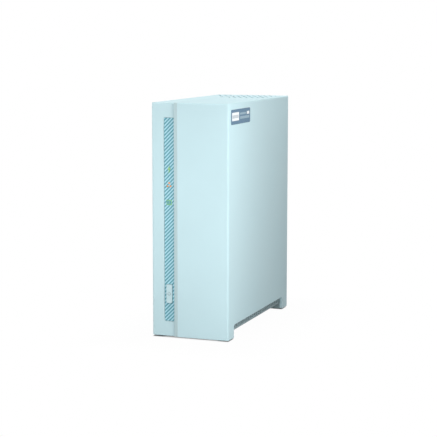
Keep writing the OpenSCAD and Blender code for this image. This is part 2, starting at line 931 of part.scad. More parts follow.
module cell_holder() {
  cup_r = cell_r + 1.3;
  cup_h = 4.4;
  seat = board_face + 1;
  finger_w = 8;
  color(black_colour)
    difference() {
      bar_x([board_face, board_face + cup_h], cell_at[0], cell_at[1], cup_r);
      bar_x([seat, board_face + 2 * cup_h], cell_at[0], cell_at[1], cell_r + 2 * slip);
      span([seat, board_face + 2 * cup_h], [cell_at[0] - finger_w / 2, cell_at[0] + finger_w / 2],
           [cell_at[1], cell_at[1] + 2 * cup_r]);
    }
}

module coin_cell() {
  x0 = board_face + 1.1;
  can_t = 3.2;
  rim = 0.8;
  color(steel_colour) {
    bar_x([x0, x0 + can_t - rim], cell_at[0], cell_at[1], cell_r - rim);
    bar_x([x0 + rim, x0 + can_t], cell_at[0], cell_at[1], cell_r);
  }
}

module buzzer() {
  r = 6;
  h = 5.5;
  hole = 1;
  color(black_colour)
    difference() {
      bar_x([board_face, board_face + h], buzzer_at[0], buzzer_at[1], r);
      bar_x([board_face + h / 2, board_face + 2 * h], buzzer_at[0], buzzer_at[1], hole);
    }
}

module fan_header() {
  size = [5, 8.4];
  color([0.92, 0.91, 0.86]) on_board(fan_header_at, size, fan_header_h);
}

module fan_plug() {
  size = [4.4, 7.6];
  corner_r = 0.4;
  color([0.94, 0.93, 0.90])
    upright_x([board_face + fan_header_h, plug_top_x]) translate(fan_header_at)
      rounded_rect(size[0], size[1], corner_r);
}

// Tube of one radius along a route of points
function unit(v) = v / norm(v);
function heading(p, i) = unit(p[min(i + 1, len(p) - 1)] - p[max(i - 1, 0)]);
function carried(v, t) = unit(v - (v * t) * t);
function side_vectors(p, i, v) =
  i >= len(p) ? [] : let (u = carried(v, heading(p, i))) concat([u], side_vectors(p, i + 1, u));
function curve_point(a, b, c, d, t) =
  0.5 * (2 * b + (c - a) * t + (2 * a - 5 * b + 4 * c - d) * t * t + (3 * b - a - 3 * c + d) * t * t * t);
function smooth_route(p, steps) = concat(
  [for (i = [0:len(p) - 2], k = [0:steps - 1])
    curve_point(p[max(i - 1, 0)], p[i], p[i + 1], p[min(i + 2, len(p) - 1)], k / steps)],
  [p[len(p) - 1]]
);

module tube(route, r, sides) {
  u = side_vectors(route, 0, [0, 1, 0.3]);
  n = len(route);
  points = [
    for (i = [0:n - 1], k = [0:sides - 1])
      let (w = cross(heading(route, i), u[i]), a = 360 * k / sides)
        route[i] + r * (cos(a) * u[i] + sin(a) * w)
  ];
  walls = [
    for (i = [0:n - 2], k = [0:sides - 1])
      let (a = i * sides + k, b = i * sides + (k + 1) % sides)
        each [[a, a + sides, b + sides], [a, b + sides, b]]
  ];
  ends = [
    for (k = [1:sides - 2])
      each [[0, k, k + 1], [(n - 1) * sides, (n - 1) * sides + k + 1, (n - 1) * sides + k]]
  ];
  polyhedron(points, concat(walls, ends), convexity = 6);
}

module fan_lead() {
  route = smooth_route(lead_route, 3);
  color([0.55, 0.12, 0.12])
    for (i = [-1:1])
      tube([for (p = route) p + wire_step * i * lead_side(p)], wire_r, 8);
}

// The three wires lie one above the other at the plug, and side by side at the fan
function lead_side(p) =
  let (t = (p[1] - lead_route[0][1]) / (lead_route[len(lead_route) - 1][1] - lead_route[0][1]))
    unit([t, 0, 1 - t]);

// Ports

module lan_port() {
  latch = [2.2, 6.4];
  mouth = [8, 11.8];
  mouth_x = board_face + 1.8;
  depth = 15;
  color(tin_colour)
    difference() {
      span([board_face, board_face + lan_h], [lan_y0, port_face], [lan_z - lan_w / 2, lan_z + lan_w / 2]);
      span([mouth_x, mouth_x + mouth[0]], [port_face - depth, half_d],
           [lan_z - mouth[1] / 2, lan_z + mouth[1] / 2]);
      span([mouth_x + mouth[0] - eps, mouth_x + mouth[0] + latch[0]], [port_face - depth, half_d],
           [lan_z - latch[1] / 2, lan_z + latch[1] / 2]);
    }
}

module usb_shells() {
  x0 = board_face + usb_lift;
  color(tin_colour)
    for (z = usb_z)
      difference() {
        span([x0, x0 + usb_h], [usb_y0, port_face], [z - usb_w / 2, z + usb_w / 2]);
        span([x0 + usb_skin, x0 + usb_h - usb_skin], [usb_y0 + 1, half_d],
             [z - usb_w / 2 + usb_skin, z + usb_w / 2 - usb_skin]);
      }
}

module usb_tongues() {
  x0 = board_face + usb_lift + usb_skin + slip;
  inner_h = usb_h - 2 * (usb_skin + slip);
  inner_w = usb_w - 2 * (usb_skin + slip);
  plug_t = 2.2;
  tongue_t = 1.8;
  tongue_gap = 0.6;
  tongue_side = 0.5;
  tongue_end = port_face - 2.4;
  color([0.12, 0.25, 0.55])
    for (z = usb_z) {
      span([x0, x0 + inner_h], [usb_y0 + 1 + slip, usb_y0 + 1 + plug_t], [z - inner_w / 2, z + inner_w / 2]);
      span([x0 + inner_h - tongue_t - tongue_gap, x0 + inner_h - tongue_gap], [usb_y0 + plug_t, tongue_end],
           [z - inner_w / 2 + tongue_side, z + inner_w / 2 - tongue_side]);
    }
}

module dc_jack() {
  depth = 9.6;
  color(black_colour)
    difference() {
      union() {
        span([board_face, board_face + dc_h], [dc_y0, panel_in - fit], [dc_z - dc_w / 2, dc_z + dc_w / 2]);
        bar_y(dc_axis_x, [dc_y0, port_face], dc_z, dc_collar_r);
      }
      bar_y(dc_axis_x, [port_face - depth, half_d], dc_z, dc_bore_r);
      bar_y(dc_axis_x, [dc_y0 + 1, half_d], dc_z, dc_pin_r + slip);
    }
}

module dc_jack_pin() {
  color(tin_colour) bar_y(dc_axis_x, [dc_y0 + 1, port_face - 1.4], dc_z, dc_pin_r);
}

module reset_switch() {
  w = 6;
  h = 5;
  color(black_colour)
    difference() {
      span([board_face, board_face + h], [reset_y0, reset_y1], [reset_z - w / 2, reset_z + w / 2]);
      bar_y(reset_x, [reset_y0 + 1, half_d], reset_z, reset_r + 3 * slip);
    }
}

module reset_plunger() {
  color([0.85, 0.85, 0.83]) bar_y(reset_x, [reset_y0 + 2, panel_in - 0.4], reset_z, reset_r);
}

// Backplane

module link_socket() {
  color(black_colour)
    difference() {
      span([board_face, link_x1], link_y, link_z);
      span([board_face + 1.2, link_x1 + 1], [tongue_y[0] - fit, tongue_y[1] + fit],
           [backplane_z - slip, backplane_z + pcb_t + slip]);
    }
}

module backplane_board() {
  z = [backplane_z, backplane_z + pcb_t];
  color(board_colour)
    difference() {
      union() {
        span(backplane_x, backplane_y, z);
        span([board_face + 1.6, backplane_x[0] + 1], tongue_y, z);
      }
      for (y = backplane_hole_y)
        bar_z(backplane_hole_x, y, [backplane_z - 1, backplane_z + pcb_t + 1], hole_r);
    }
}

module sata_socket() {
  x = [plug_x[0] + plug_wall + fit, plug_x[1] - plug_wall - fit];
  y = [plug_y[0] + plug_wall + fit, plug_y[1] - plug_wall - fit];
  slot_w = blade_t + 2 * fit;
  color(black_colour)
    difference() {
      span(x, y, [backplane_z + pcb_t, socket_top]);
      span([plug_mid_x - slot_w / 2, plug_mid_x + slot_w / 2],
           [y[0] + blade_end - fit, y[1] - blade_end + fit], [drive_z0 - 1, socket_top + 1]);
    }
}

// Disk drive and its cage

module drive_cage() {
  flange_x = [cage_x0, cage_x0 + cage_flange_w];
  window = [18, 34];
  window_r = 3;
  window_y = [-50, -17.6, 14.8];
  window_z = [58, 98, 138];
  foot_l = 15;
  color(steel_colour)
    difference() {
      union() {
        span([cage_x0, cage_x1], [cage_y0, cage_y1], cage_z);
        span(flange_x, [cage_y0, cage_y0 + sheet], cage_z);
        span(flange_x, [cage_y1 - sheet, cage_y1], cage_z);
        for (y = cage_foot_y) {
          span([cage_x0, cage_x1], [y - cage_foot_w / 2, y + cage_foot_w / 2], [tray_top, cage_z[0] + 1]);
          span([cage_x0, cage_x0 + foot_l], [y - cage_foot_w / 2, y + cage_foot_w / 2],
               [tray_top, tray_top + sheet]);
        }
      }
      for (y = window_y, z = window_z)
        upright_x([cage_x0 - 1, cage_x1 + 1]) translate([y, z]) rounded_rect(window[0], window[1], window_r);
      for (y = cage_post_y)
        bar_x([cage_x0 - 1, cage_x1 + 1], y, cage_post_z, hole_r);
      for (y = cage_foot_y)
        bar_z(cage_foot_x, y, [tray_top - 1, tray_top + sheet + 1], hole_r);
      for (z = drive_hole_z)
        bar_y(drive_hole_x, [cage_y0 - 1, cage_y1 + 1], z, grommet_r + slip);
    }
}

// Rubber bush through a cage flange, its rims on both sides of the sheet
module grommet() {
  rotate_extrude() {
    translate([hole_r, -grommet_rim_t]) square([grommet_rim_r - hole_r, grommet_rim_t]);
    translate([hole_r, -eps]) square([grommet_r - hole_r, sheet + 2 * eps]);
    translate([hole_r, sheet]) square([grommet_rim_r - hole_r, grommet_rim_t]);
  }
}

module drive_grommets() {
  color(rubber_colour)
    for (z = drive_hole_z, y = [cage_y0, cage_y1 - sheet])
      translate([drive_hole_x, y, z]) facing_back() grommet();
}

module drive_casting() {
  corner_r = 3;
  mid = [(drive_y0 + drive_y1) / 2, (drive_z0 + drive_z1) / 2];
  rim = 2.2;
  bay_depth = 5;
  bay_end = 40;
  hole_depth = 5;
  motor_r = 14;
  motor_hub_r = 9;
  well_r = 30;
  color(cast_colour)
    difference() {
      upright_x([casting_x0, casting_x1]) translate(mid) rounded_rect(drive_w, drive_l, corner_r);
      // Notch of the plug, and the motor's hub in its shallow bay on the circuit side
      span([casting_x0 - 1, plug_x[1] + fit], [plug_y[0] - fit, plug_y[1] + fit],
           [drive_z0 - 1, drive_z0 + plug_h + fit]);
      difference() {
        bar_x([casting_x0 - 1, casting_x0 + rim], mid[0], drive_z1 - drive_w / 2, motor_r);
        bar_x([casting_x0, casting_x0 + 2 * rim], mid[0], drive_z1 - drive_w / 2, motor_hub_r);
      }
      // Round step of the disc chamber about the motor
      difference() {
        bar_x([casting_x0 - 1, casting_x0 + rim / 2], mid[0], drive_z1 - drive_w / 2, well_r + rim);
        bar_x([casting_x0 - 2, casting_x0 + rim], mid[0], drive_z1 - drive_w / 2, well_r);
      }
      // Steps along the long sides, under the lid
      for (y = [[-body_d, drive_y0 + rim], [drive_y1 - rim, body_d]])
        span([casting_x1 - bay_depth, body_w], y, [drive_z0 + bay_end, drive_z1 - bay_end]);
      for (z = drive_hole_z) {
        bar_y(drive_hole_x, [drive_y0 - 1, drive_y0 + hole_depth], z, hole_r);
        bar_y(drive_hole_x, [drive_y1 - hole_depth, drive_y1 + 1], z, hole_r);
      }
    }
}

module drive_lid() {
  margin = 3;
  mid = [(drive_y0 + drive_y1) / 2, (drive_z0 + drive_z1) / 2];
  size = [drive_w - 2 * margin, drive_l - 2 * margin];
  corner_r = 6;
  disc_r = size[0] / 2 - 1.5;
  disc_at = [mid[0], drive_z1 - margin - size[0] / 2];
  spindle_r = 12;
  arm_at = [mid[0] - 22, drive_z0 + 38];
  arm_r = 20;
  pivot_r = 7;
  ring_w = 3;
  filter_at = [mid[0] + 30, drive_z0 + 24];
  filter_r = 9;
  screw_well_r = 3.4;
  screw_in = 5.4;
  screw_rows = [drive_z0 + margin + screw_in, drive_z0 + 62, drive_z1 - margin - screw_in];
  color(steel_colour)
    difference() {
      union() {
        upright_x([casting_x1, casting_x1 + lid_t]) translate(mid) rounded_rect(size[0], size[1], corner_r);
        bar_x([casting_x1, drive_x1], disc_at[0], disc_at[1], disc_r);
        bar_x([casting_x1, drive_x1], arm_at[0], arm_at[1], arm_r);
        bar_x([casting_x1, drive_x1], filter_at[0], filter_at[1], filter_r);
      }
      // Pressed rings round the spindle, and the arm's pivot
      bar_x([casting_x1 + lid_t, body_w], disc_at[0], disc_at[1], spindle_r);
      difference() {
        bar_x([casting_x1 + lid_t, body_w], disc_at[0], disc_at[1], disc_r - 2 * ring_w);
        bar_x([casting_x1, body_w], disc_at[0], disc_at[1], disc_r - 3 * ring_w);
      }
      bar_x([casting_x1 + lid_t, body_w], arm_at[0], arm_at[1], pivot_r);
      // Wells of the screws round the rim
      for (side = [-1, 1], z = screw_rows)
        bar_x([casting_x1 + lid_t / 2, body_w], mid[0] + side * (size[0] / 2 - screw_in), z, screw_well_r);
    }
}

module drive_circuit() {
  margin = 3;
  z = [drive_z0 + plug_h + 1, drive_z0 + 70];
  corner = [26, 18];
  arm_hole = [drive_y1 - 18, z[1] - 34];
  arm_hole_r = 5;
  color(board_colour)
    difference() {
      span([drive_x0, circuit_x1], [drive_y0 + margin, drive_y1 - margin], z);
      bar_x([drive_x0 - 1, circuit_x1 + 1], arm_hole[0], arm_hole[1], arm_hole_r);
      span([drive_x0 - 1, circuit_x1 + 1], [drive_y1 - corner[0], drive_y1], [z[1] - corner[1], z[1] + 1]);
    }
}

module drive_plug() {
  inner_x = [plug_x[0] + plug_wall, plug_x[1] - plug_wall];
  inner_y = [plug_y[0] + plug_wall, plug_y[1] - plug_wall];
  roof = 2;
  color(black_colour) {
    difference() {
      span(plug_x, plug_y, [drive_z0, drive_z0 + plug_h]);
      span(inner_x, inner_y, [drive_z0 - 1, drive_z0 + plug_h - roof]);
    }
    span([plug_mid_x - blade_t / 2, plug_mid_x + blade_t / 2],
         [inner_y[0] + blade_end + fit, inner_y[1] - blade_end - fit],
         [drive_z0 + 1, drive_z0 + plug_h - roof + eps]);
  }
}

// Fan

module fan_frame() {
  mid = [0, fan_z];
  duct_wall = 1.3;
  struts = 4;
  strut_w = 3;
  base_r = 13.8;
  corner_r = 3;
  color(black_colour)
    difference() {
      union() {
        difference() {
          union() {
            for (y = [fan_y0, fan_y1 - fan_rim_t])
              upright_y([y, y + fan_rim_t]) translate(mid) rounded_rect(fan_size, fan_size, corner_r);
            bar_y(0, [fan_y0, fan_y1], fan_z, fan_bore_r + duct_wall);
          }
          bar_y(0, [fan_y0 - 1, fan_y1 + 1], fan_z, fan_bore_r);
        }
        bar_y(0, [base_y0, fan_y1], fan_z, base_r);
        bar_y(0, [tube_y0, fan_y1], fan_z, tube_r);
        for (k = [0:struts - 1])
          translate([0, 0, fan_z]) rotate([0, 45 + k * 360 / struts, 0])
            span([base_r - 1, fan_bore_r + eps], [base_y0, fan_y1], [-strut_w / 2, strut_w / 2]);
      }
      bar_y(0, [tube_y0 - 1, base_y0], fan_z, bearing_r + slip);
      for (sx = [-1, 1], sz = [-1, 1])
        bar_y(sx * fan_screw_at, [fan_y0 - 1, fan_y1 + 1], fan_z + sz * fan_screw_at, hole_r);
    }
}

// Cambered blade: part of a round sheet that leans across the ring between hub and tip
module fan_blade() {
  tip_r = fan_bore_r - tip_gap;
  skin_t = 1.1;
  camber_r = 20;
  chord = [12, 9.4];
  low = 1;
  length = norm(chord);
  rise = sqrt(camber_r * camber_r - length * length / 4);
  middle = [0, low + chord[1] / 2];
  centre = middle + rise * [chord[1], -chord[0]] / length;
  intersection() {
    difference() {
      cylinder(r = tip_r, h = rotor_l);
      translate([0, 0, -1]) cylinder(r = hub_r - eps, h = rotor_l + 2);
    }
    span([0, body_w], [-chord[0], chord[0]], [low, low + chord[1]]);
    difference() {
      bar_x([0, body_w], centre[0], centre[1], camber_r + skin_t / 2);
      bar_x([-1, body_w + 1], centre[0], centre[1], camber_r - skin_t / 2);
    }
  }
}

module fan_rotor() {
  socket_r = 2.6;
  socket_h = 2.6;
  shaft_in = 0.5;
  color(black_colour)
    translate([0, rotor_y0, fan_z]) facing_back()
      difference() {
        union() {
          difference() {
            cylinder(r = hub_r, h = rotor_l);
            translate([0, 0, hub_wall]) cylinder(r = hub_r - hub_wall, h = rotor_l);
          }
          cylinder(r = socket_r, h = socket_h);
          for (k = [0:blades - 1])
            rotate(k * 360 / blades) fan_blade();
        }
        translate([0, 0, shaft_in]) cylinder(r = shaft_r + shaft_fit / 2, h = socket_h + 1);
      }
}

module fan_shaft() {
  color(steel_colour) bar_y(0, [rotor_y0 + 0.6, base_y0 - 0.6], fan_z, shaft_r);
}

module fan_bearing() {
  color(brass_colour)
    difference() {
      bar_y(0, [tube_y0, base_y0 - fit], fan_z, bearing_r);
      bar_y(0, [tube_y0 - 1, base_y0 + 1], fan_z, shaft_r + shaft_fit);
    }
}

module fan_stator() {
  poles = 4;
  core_r = 6;
  pole_w = 3.6;
  outer_r = hub_r - hub_wall - 0.9;
  shoe_t = 1.4;
  y = [tube_y0 + 1, base_y0 - 1.2];
  color([0.72, 0.42, 0.24])
    difference() {
      upright_y(y) translate([0, fan_z]) {
        circle(core_r);
        for (k = [0:poles - 1])
          rotate(k * 360 / poles) {
            translate([0, -pole_w / 2]) square([outer_r - shoe_t / 2, pole_w]);
            intersection() {
              difference() {
                circle(outer_r);
                circle(outer_r - shoe_t);
              }
              translate([0, -pole_w * 1.6]) square([outer_r + 1, pole_w * 3.2]);
            }
          }
      }
      bar_y(0, [y[0] - 1, y[1] + 1], fan_z, tube_r + slip);
    }
}

// Label and fasteners

module side_label() {
  color([0.43, 0.56, 0.64])
    upright_x([half_w - label_t, half_w])
      translate(label_at) rounded_rect(label_size[0], label_size[1], label_r - fit / 2);
}

module cover_screws() {
  color(tin_colour)
    for (at = cover_screw_at)
      translate([at[0], head_seat, at[1]]) facing_back() screw(cover_screw_l);
}

module panel_screws() {
  color(tin_colour)
    for (at = [shell_screw_at, [-foot_screw_x, foot_screw_z], [foot_screw_x, foot_screw_z]])
      translate([at[0], head_seat, at[1]]) facing_back() screw(panel_screw_l);
}

module fan_screws() {
  color(tin_colour)
    for (sx = [-1, 1], sz = [-1, 1])
      translate([sx * fan_screw_at, head_seat, fan_z + sz * fan_screw_at]) facing_back() screw(fan_screw_l);
}

module board_screws() {
  color(tin_colour) {
    for (at = board_holes)
      translate([board_face, at[0], at[1]]) facing_right() screw(board_screw_l);
    for (z = front_boss_z)
      translate([front_boss_x, front_board_y1, z]) facing_back() screw(board_screw_l);
    for (y = backplane_hole_y)
      translate([backplane_hole_x, y, backplane_z + pcb_t]) screw(backplane_screw_l);
  }
}

module cage_screws() {
  color(tin_colour) {
    for (y = cage_post_y)
      translate([cage_x1, y, cage_post_z]) facing_right() screw(cage_screw_l);
    for (y = cage_foot_y)
      translate([cage_foot_x, y, tray_top + sheet]) screw(foot_screw_l);
  }
}

module drive_screws() {
  bite = 4;
  length = 2 * grommet_rim_t + sheet + bite;
  color(tin_colour)
    for (z = drive_hole_z) {
      translate([drive_hole_x, cage_y0 - grommet_rim_t, z]) facing_front() screw(length);
      translate([drive_hole_x, cage_y1 + grommet_rim_t, z]) facing_back() screw(length);
    }
}

module tray_screws() {
  color(tin_colour)
    for (y = tray_screw_y)
      translate([tray_screw_x, y, tray_under]) facing_down() screw(tray_screw_l);
}

left_shell();
right_cover();
rear_panel();
bottom_tray();
rubber_feet();
front_strip();
status_light();
network_light();
activity_light();
power_button();
power_switch();
power_switch_plunger();
front_board();
indicator_leds();
front_header();
panel_ribbon();
panel_header();
main_board();
processor();
heat_sink();
memory_chips();
flash_chip();
capacitors();
inductors();
cell_holder();
coin_cell();
buzzer();
fan_header();
fan_plug();
fan_lead();
lan_port();
usb_shells();
usb_tongues();
dc_jack();
dc_jack_pin();
reset_switch();
reset_plunger();
link_socket();
backplane_board();
sata_socket();
drive_cage();
drive_grommets();
drive_casting();
drive_lid();
drive_circuit();
drive_plug();
fan_frame();
fan_rotor();
fan_shaft();
fan_bearing();
fan_stator();
side_label();
cover_screws();
panel_screws();
fan_screws();
board_screws();
cage_screws();
drive_screws();
tray_screws();
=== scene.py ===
import json
import math
import random

import bmesh
import bpy
from mathutils import Matrix, Vector


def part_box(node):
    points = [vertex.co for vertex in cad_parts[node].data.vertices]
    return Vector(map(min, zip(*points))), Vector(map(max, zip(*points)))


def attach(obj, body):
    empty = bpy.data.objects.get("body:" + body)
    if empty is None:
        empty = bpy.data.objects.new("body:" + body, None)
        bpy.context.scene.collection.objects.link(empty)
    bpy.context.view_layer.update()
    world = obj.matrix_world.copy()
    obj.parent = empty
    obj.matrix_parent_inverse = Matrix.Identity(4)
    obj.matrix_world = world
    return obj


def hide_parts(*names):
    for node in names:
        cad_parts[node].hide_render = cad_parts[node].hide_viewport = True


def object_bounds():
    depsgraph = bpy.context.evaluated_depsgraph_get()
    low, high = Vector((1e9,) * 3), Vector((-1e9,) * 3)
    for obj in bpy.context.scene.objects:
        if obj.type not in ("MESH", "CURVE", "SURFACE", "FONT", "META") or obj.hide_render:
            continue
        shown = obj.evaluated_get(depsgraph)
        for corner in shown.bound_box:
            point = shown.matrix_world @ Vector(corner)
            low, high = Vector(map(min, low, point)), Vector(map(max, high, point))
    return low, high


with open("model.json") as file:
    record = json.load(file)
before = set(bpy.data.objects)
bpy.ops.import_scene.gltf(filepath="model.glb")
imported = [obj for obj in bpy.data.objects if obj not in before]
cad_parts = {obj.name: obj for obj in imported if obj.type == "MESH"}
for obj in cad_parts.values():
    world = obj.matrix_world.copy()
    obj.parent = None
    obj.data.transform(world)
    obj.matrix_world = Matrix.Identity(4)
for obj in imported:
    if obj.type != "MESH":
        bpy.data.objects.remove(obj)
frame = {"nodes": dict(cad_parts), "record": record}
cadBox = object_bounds()
nodes = frame["nodes"]
scene = bpy.context.scene
mm = 0.001
print("frame loaded,", len(nodes), "nodes")

# camera, at the photograph's angle
cameraView = {
    "lens": 114.3,                             # mm
    "sensor": 36,                              # mm
    "clip": (0.01, 100),                       # metres
    "place": (0.39677, -1.09325, 0.24273),
    "turn": 20.135,                            # degrees round the tower
    "tilt": 7.586,                             # degrees looking down
    "roll": 0.04,
}


def placeCamera(view):
    turn, tilt = math.radians(view["turn"]), math.radians(view["tilt"])
    back = Vector((math.sin(turn) * math.cos(tilt), -math.cos(turn) * math.cos(tilt), math.sin(tilt)))
    data = bpy.data.cameras.new("towerCamera")
    data.lens = view["lens"]
    data.sensor_width = view["sensor"]
    data.clip_start, data.clip_end = view["clip"]
    camera = bpy.data.objects.new("towerCamera", data)
    scene.collection.objects.link(camera)
    aim = (-back).to_track_quat("-Z", "Y").to_matrix().to_4x4()
    roll = Matrix.Rotation(math.radians(view["roll"]), 4, "Z")
    camera.matrix_world = Matrix.Translation(view["place"]) @ aim @ roll
    scene.camera = camera


placeCamera(cameraView)
scene.view_settings.view_transform = "Standard"
print("camera placed")

# colours and finishes


# sRGB levels from 0 to 255, made the linear colour that a shader takes
def tint(red, green, blue):
    def linear(level):
        share = level / 255
        return share / 12.92 if share <= 0.04045 else ((share + 0.055) / 1.055) ** 2.4
    return (linear(red), linear(green), linear(blue), 1)


def shade(colour, factor):
    return (*(min(1, part * factor) for part in colour[:3]), 1)


def startFinish(name, roughness, metallic=0.0, gloss=0.5):
    material = bpy.data.materials.new(name)
    material.use_nodes = True
    tree = material.node_tree
    shader = tree.nodes["Principled BSDF"]
    shader.inputs["Roughness"].default_value = roughness
    shader.inputs["Metallic"].default_value = metallic
    shader.inputs["Specular IOR Level"].default_value = gloss
    place = tree.nodes.new("ShaderNodeTexCoord").outputs["Object"]
    return {"material": material, "tree": tree, "shader": shader, "place": place}


def mapPlace(finish, scale=(1, 1, 1), turn=(0, 0, 0), place=None):
    mapping = finish["tree"].nodes.new("ShaderNodeMapping")
    mapping.inputs["Rotation"].default_value = [math.radians(angle) for angle in turn]
    mapping.inputs["Scale"].default_value = scale
    finish["tree"].links.new(place or finish["place"], mapping.inputs["Vector"])
    return mapping.outputs["Vector"]


def addNoise(finish, scale, detail=3.0, stretch=None):
    noise = finish["tree"].nodes.new("ShaderNodeTexNoise")
    noise.inputs["Scale"].default_value = scale
    noise.inputs["Detail"].default_value = detail
    place = mapPlace(finish, stretch) if stretch else finish["place"]
    finish["tree"].links.new(place, noise.inputs["Vector"])
    return noise.outputs["Fac"]


def addCells(finish, scale, place=None, output="Distance"):
    cells = finish["tree"].nodes.new("ShaderNodeTexVoronoi")
    cells.inputs["Scale"].default_value = scale
    finish["tree"].links.new(place or finish["place"], cells.inputs["Vector"])
    return cells.outputs[output]


def addMath(finish, operation, first, second=0.0):
    node = finish["tree"].nodes.new("ShaderNodeMath")
    node.operation = operation
    for socket, value in zip(node.inputs, (first, second)):
        if isinstance(value, (int, float)):
            socket.default_value = value
        else:
            finish["tree"].links.new(value, socket)
    return node.outputs["Value"]


# runs from one value to another while the signal goes from low to high
def addSlope(finish, signal, low, high, start=0.0, end=1.0):
    slope = finish["tree"].nodes.new("ShaderNodeMapRange")
    slope.inputs["From Min"].default_value = low
    slope.inputs["From Max"].default_value = high
    slope.inputs["To Min"].default_value = start
    slope.inputs["To Max"].default_value = end
    finish["tree"].links.new(signal, slope.inputs["Value"])
    return slope.outputs["Result"]


# one coordinate of the piece's own frame, in metres
def addAxis(finish, axis):
    split = finish["tree"].nodes.new("ShaderNodeSeparateXYZ")
    finish["tree"].links.new(finish["place"], split.inputs["Vector"])
    return split.outputs[axis]


# 1 between two values of a coordinate, 0 outside them
def addBand(finish, signal, low, high, blur=0.05 * mm):
    rise = addSlope(finish, signal, low - blur, low + blur)
    fall = addSlope(finish, signal, high - blur, high + blur, 1, 0)
    return addMath(finish, "MULTIPLY", rise, fall)


# colour that runs between two stops
def addRamp(finish, signal, first, last):
    ramp = finish["tree"].nodes.new("ShaderNodeValToRGB")
    for mark, (position, colour) in zip(ramp.color_ramp.elements, (first, last)):
        mark.position = position
        mark.color = colour
    finish["tree"].links.new(signal, ramp.inputs["Fac"])
    return ramp.outputs["Color"]


mixSockets = {"mask": 0, "under": 6, "over": 7, "result": 2}   # of a Mix node that mixes colours


def layOver(finish, mask, under, over):
    mix = finish["tree"].nodes.new("ShaderNodeMix")
    mix.data_type = "RGBA"
    finish["tree"].links.new(mask, mix.inputs[mixSockets["mask"]])
    for name, value in (("under", under), ("over", over)):
        socket = mix.inputs[mixSockets[name]]
        if isinstance(value, tuple):
            socket.default_value = value
        else:
            finish["tree"].links.new(value, socket)
    return mix.outputs[mixSockets["result"]]


def setColour(finish, colour):
    finish["tree"].links.new(colour, finish["shader"].inputs["Base Color"])


noiseSpan = (0.3, 0.7)                         # most of a noise signal lies between these


def mottle(finish, signal, colour, spread):
    low, high = noiseSpan
    return addRamp(finish, signal, (low, shade(colour, 1 - spread)), (high, shade(colour, 1 + spread)))


def spreadRoughness(finish, signal, low, high):
    spread = addSlope(finish, signal, *noiseSpan, low, high)
    finish["tree"].links.new(spread, finish["shader"].inputs["Roughness"])


# surface grain, with edges eased by a small radius
def addBump(finish, signal, depth, strength=0.6, ease=0.25 * mm):
    tree = finish["tree"]
    bump = tree.nodes.new("ShaderNodeBump")
    bump.inputs["Distance"].default_value = depth
    bump.inputs["Strength"].default_value = strength
    tree.links.new(signal, bump.inputs["Height"])
    if ease:
        edge = tree.nodes.new("ShaderNodeBevel")
        edge.samples = 4
        edge.inputs["Radius"].default_value = ease
        tree.links.new(edge.outputs["Normal"], bump.inputs["Normal"])
    tree.links.new(bump.outputs["Normal"], finish["shader"].inputs["Normal"])


# skin of a moulding: faint flow patches and a fine spark-eroded grain
def startMoulding(name, roughness, gloss, grain=2200, depth=0.03 * mm):
    finish = startFinish(name, roughness, gloss=gloss)
    patches = addNoise(finish, scale=26, detail=4)
    spreadRoughness(finish, patches, roughness - 0.04, roughness + 0.06)
    addBump(finish, addNoise(finish, grain, detail=2), depth)
    return finish, patches


def mouldedPlastic(name, colour, roughness, spread, gloss=0.4, **grain):
    finish, patches = startMoulding(name, roughness, gloss, **grain)
    setColour(finish, mottle(finish, patches, colour, spread))
    return finish["material"]


# the shell's plastic, a shade greyer on the slanted edge between the two front panels
def shellPlastic(name, look, across, front):
    finish, patches = startMoulding(name, look["roughness"], look["gloss"])
    onEdge = addBand(finish, addAxis(finish, "X"), *across)
    atFront = addSlope(finish, addAxis(finish, "Y"), front, front + look["blur"], 1, 0)
    body = mottle(finish, patches, look["colour"], look["spread"])
    edge = mottle(finish, patches, look["edgeColour"], look["spread"])
    setColour(finish, layOver(finish, addMath(finish, "MULTIPLY", onEdge, atFront), body, edge))
    return finish["material"]


# rolled or drawn metal: fine lines along the axis with the smallest stretch
def drawnMetal(name, colour, stretch, roughness):
    finish = startFinish(name, roughness, metallic=1.0)
    lines = addNoise(finish, scale=900, stretch=stretch)
    setColour(finish, mottle(finish, addNoise(finish, scale=60, detail=4), colour, spread=0.07))
    spreadRoughness(finish, lines, roughness - 0.06, roughness + 0.12)
    addBump(finish, lines, depth=0.012 * mm, strength=0.4)
    return finish["material"]


# hot-dip zinc: flat crystals of slightly different greys
def galvanisedSheet(name, colour):
    finish = startFinish(name, roughness=0.4, metallic=1.0)
    split = finish["tree"].nodes.new("ShaderNodeSeparateColor")
    finish["tree"].links.new(addCells(finish, scale=210, output="Color"), split.inputs["Color"])
    greys = [(level, shade(colour, factor)) for level, factor in ((0, 0.84), (1, 1.1))]
    setColour(finish, addRamp(finish, split.outputs["Red"], *greys))
    spreadRoughness(finish, split.outputs["Green"], low=0.32, high=0.46)
    addBump(finish, addNoise(finish, scale=700), depth=0.015 * mm, strength=0.5)
    return finish["material"]


# die casting: dull skin with flow stains and small pits
def castMetal(name, colour):
    finish = startFinish(name, roughness=0.52, metallic=0.85)
    stains = addNoise(finish, scale=55, detail=5)
    setColour(finish, mottle(finish, stains, colour, spread=0.1))
    spreadRoughness(finish, stains, low=0.46, high=0.62)
    addBump(finish, addNoise(finish, scale=1500, detail=4), depth=0.05 * mm, strength=0.7, ease=0.4 * mm)
    return finish["material"]


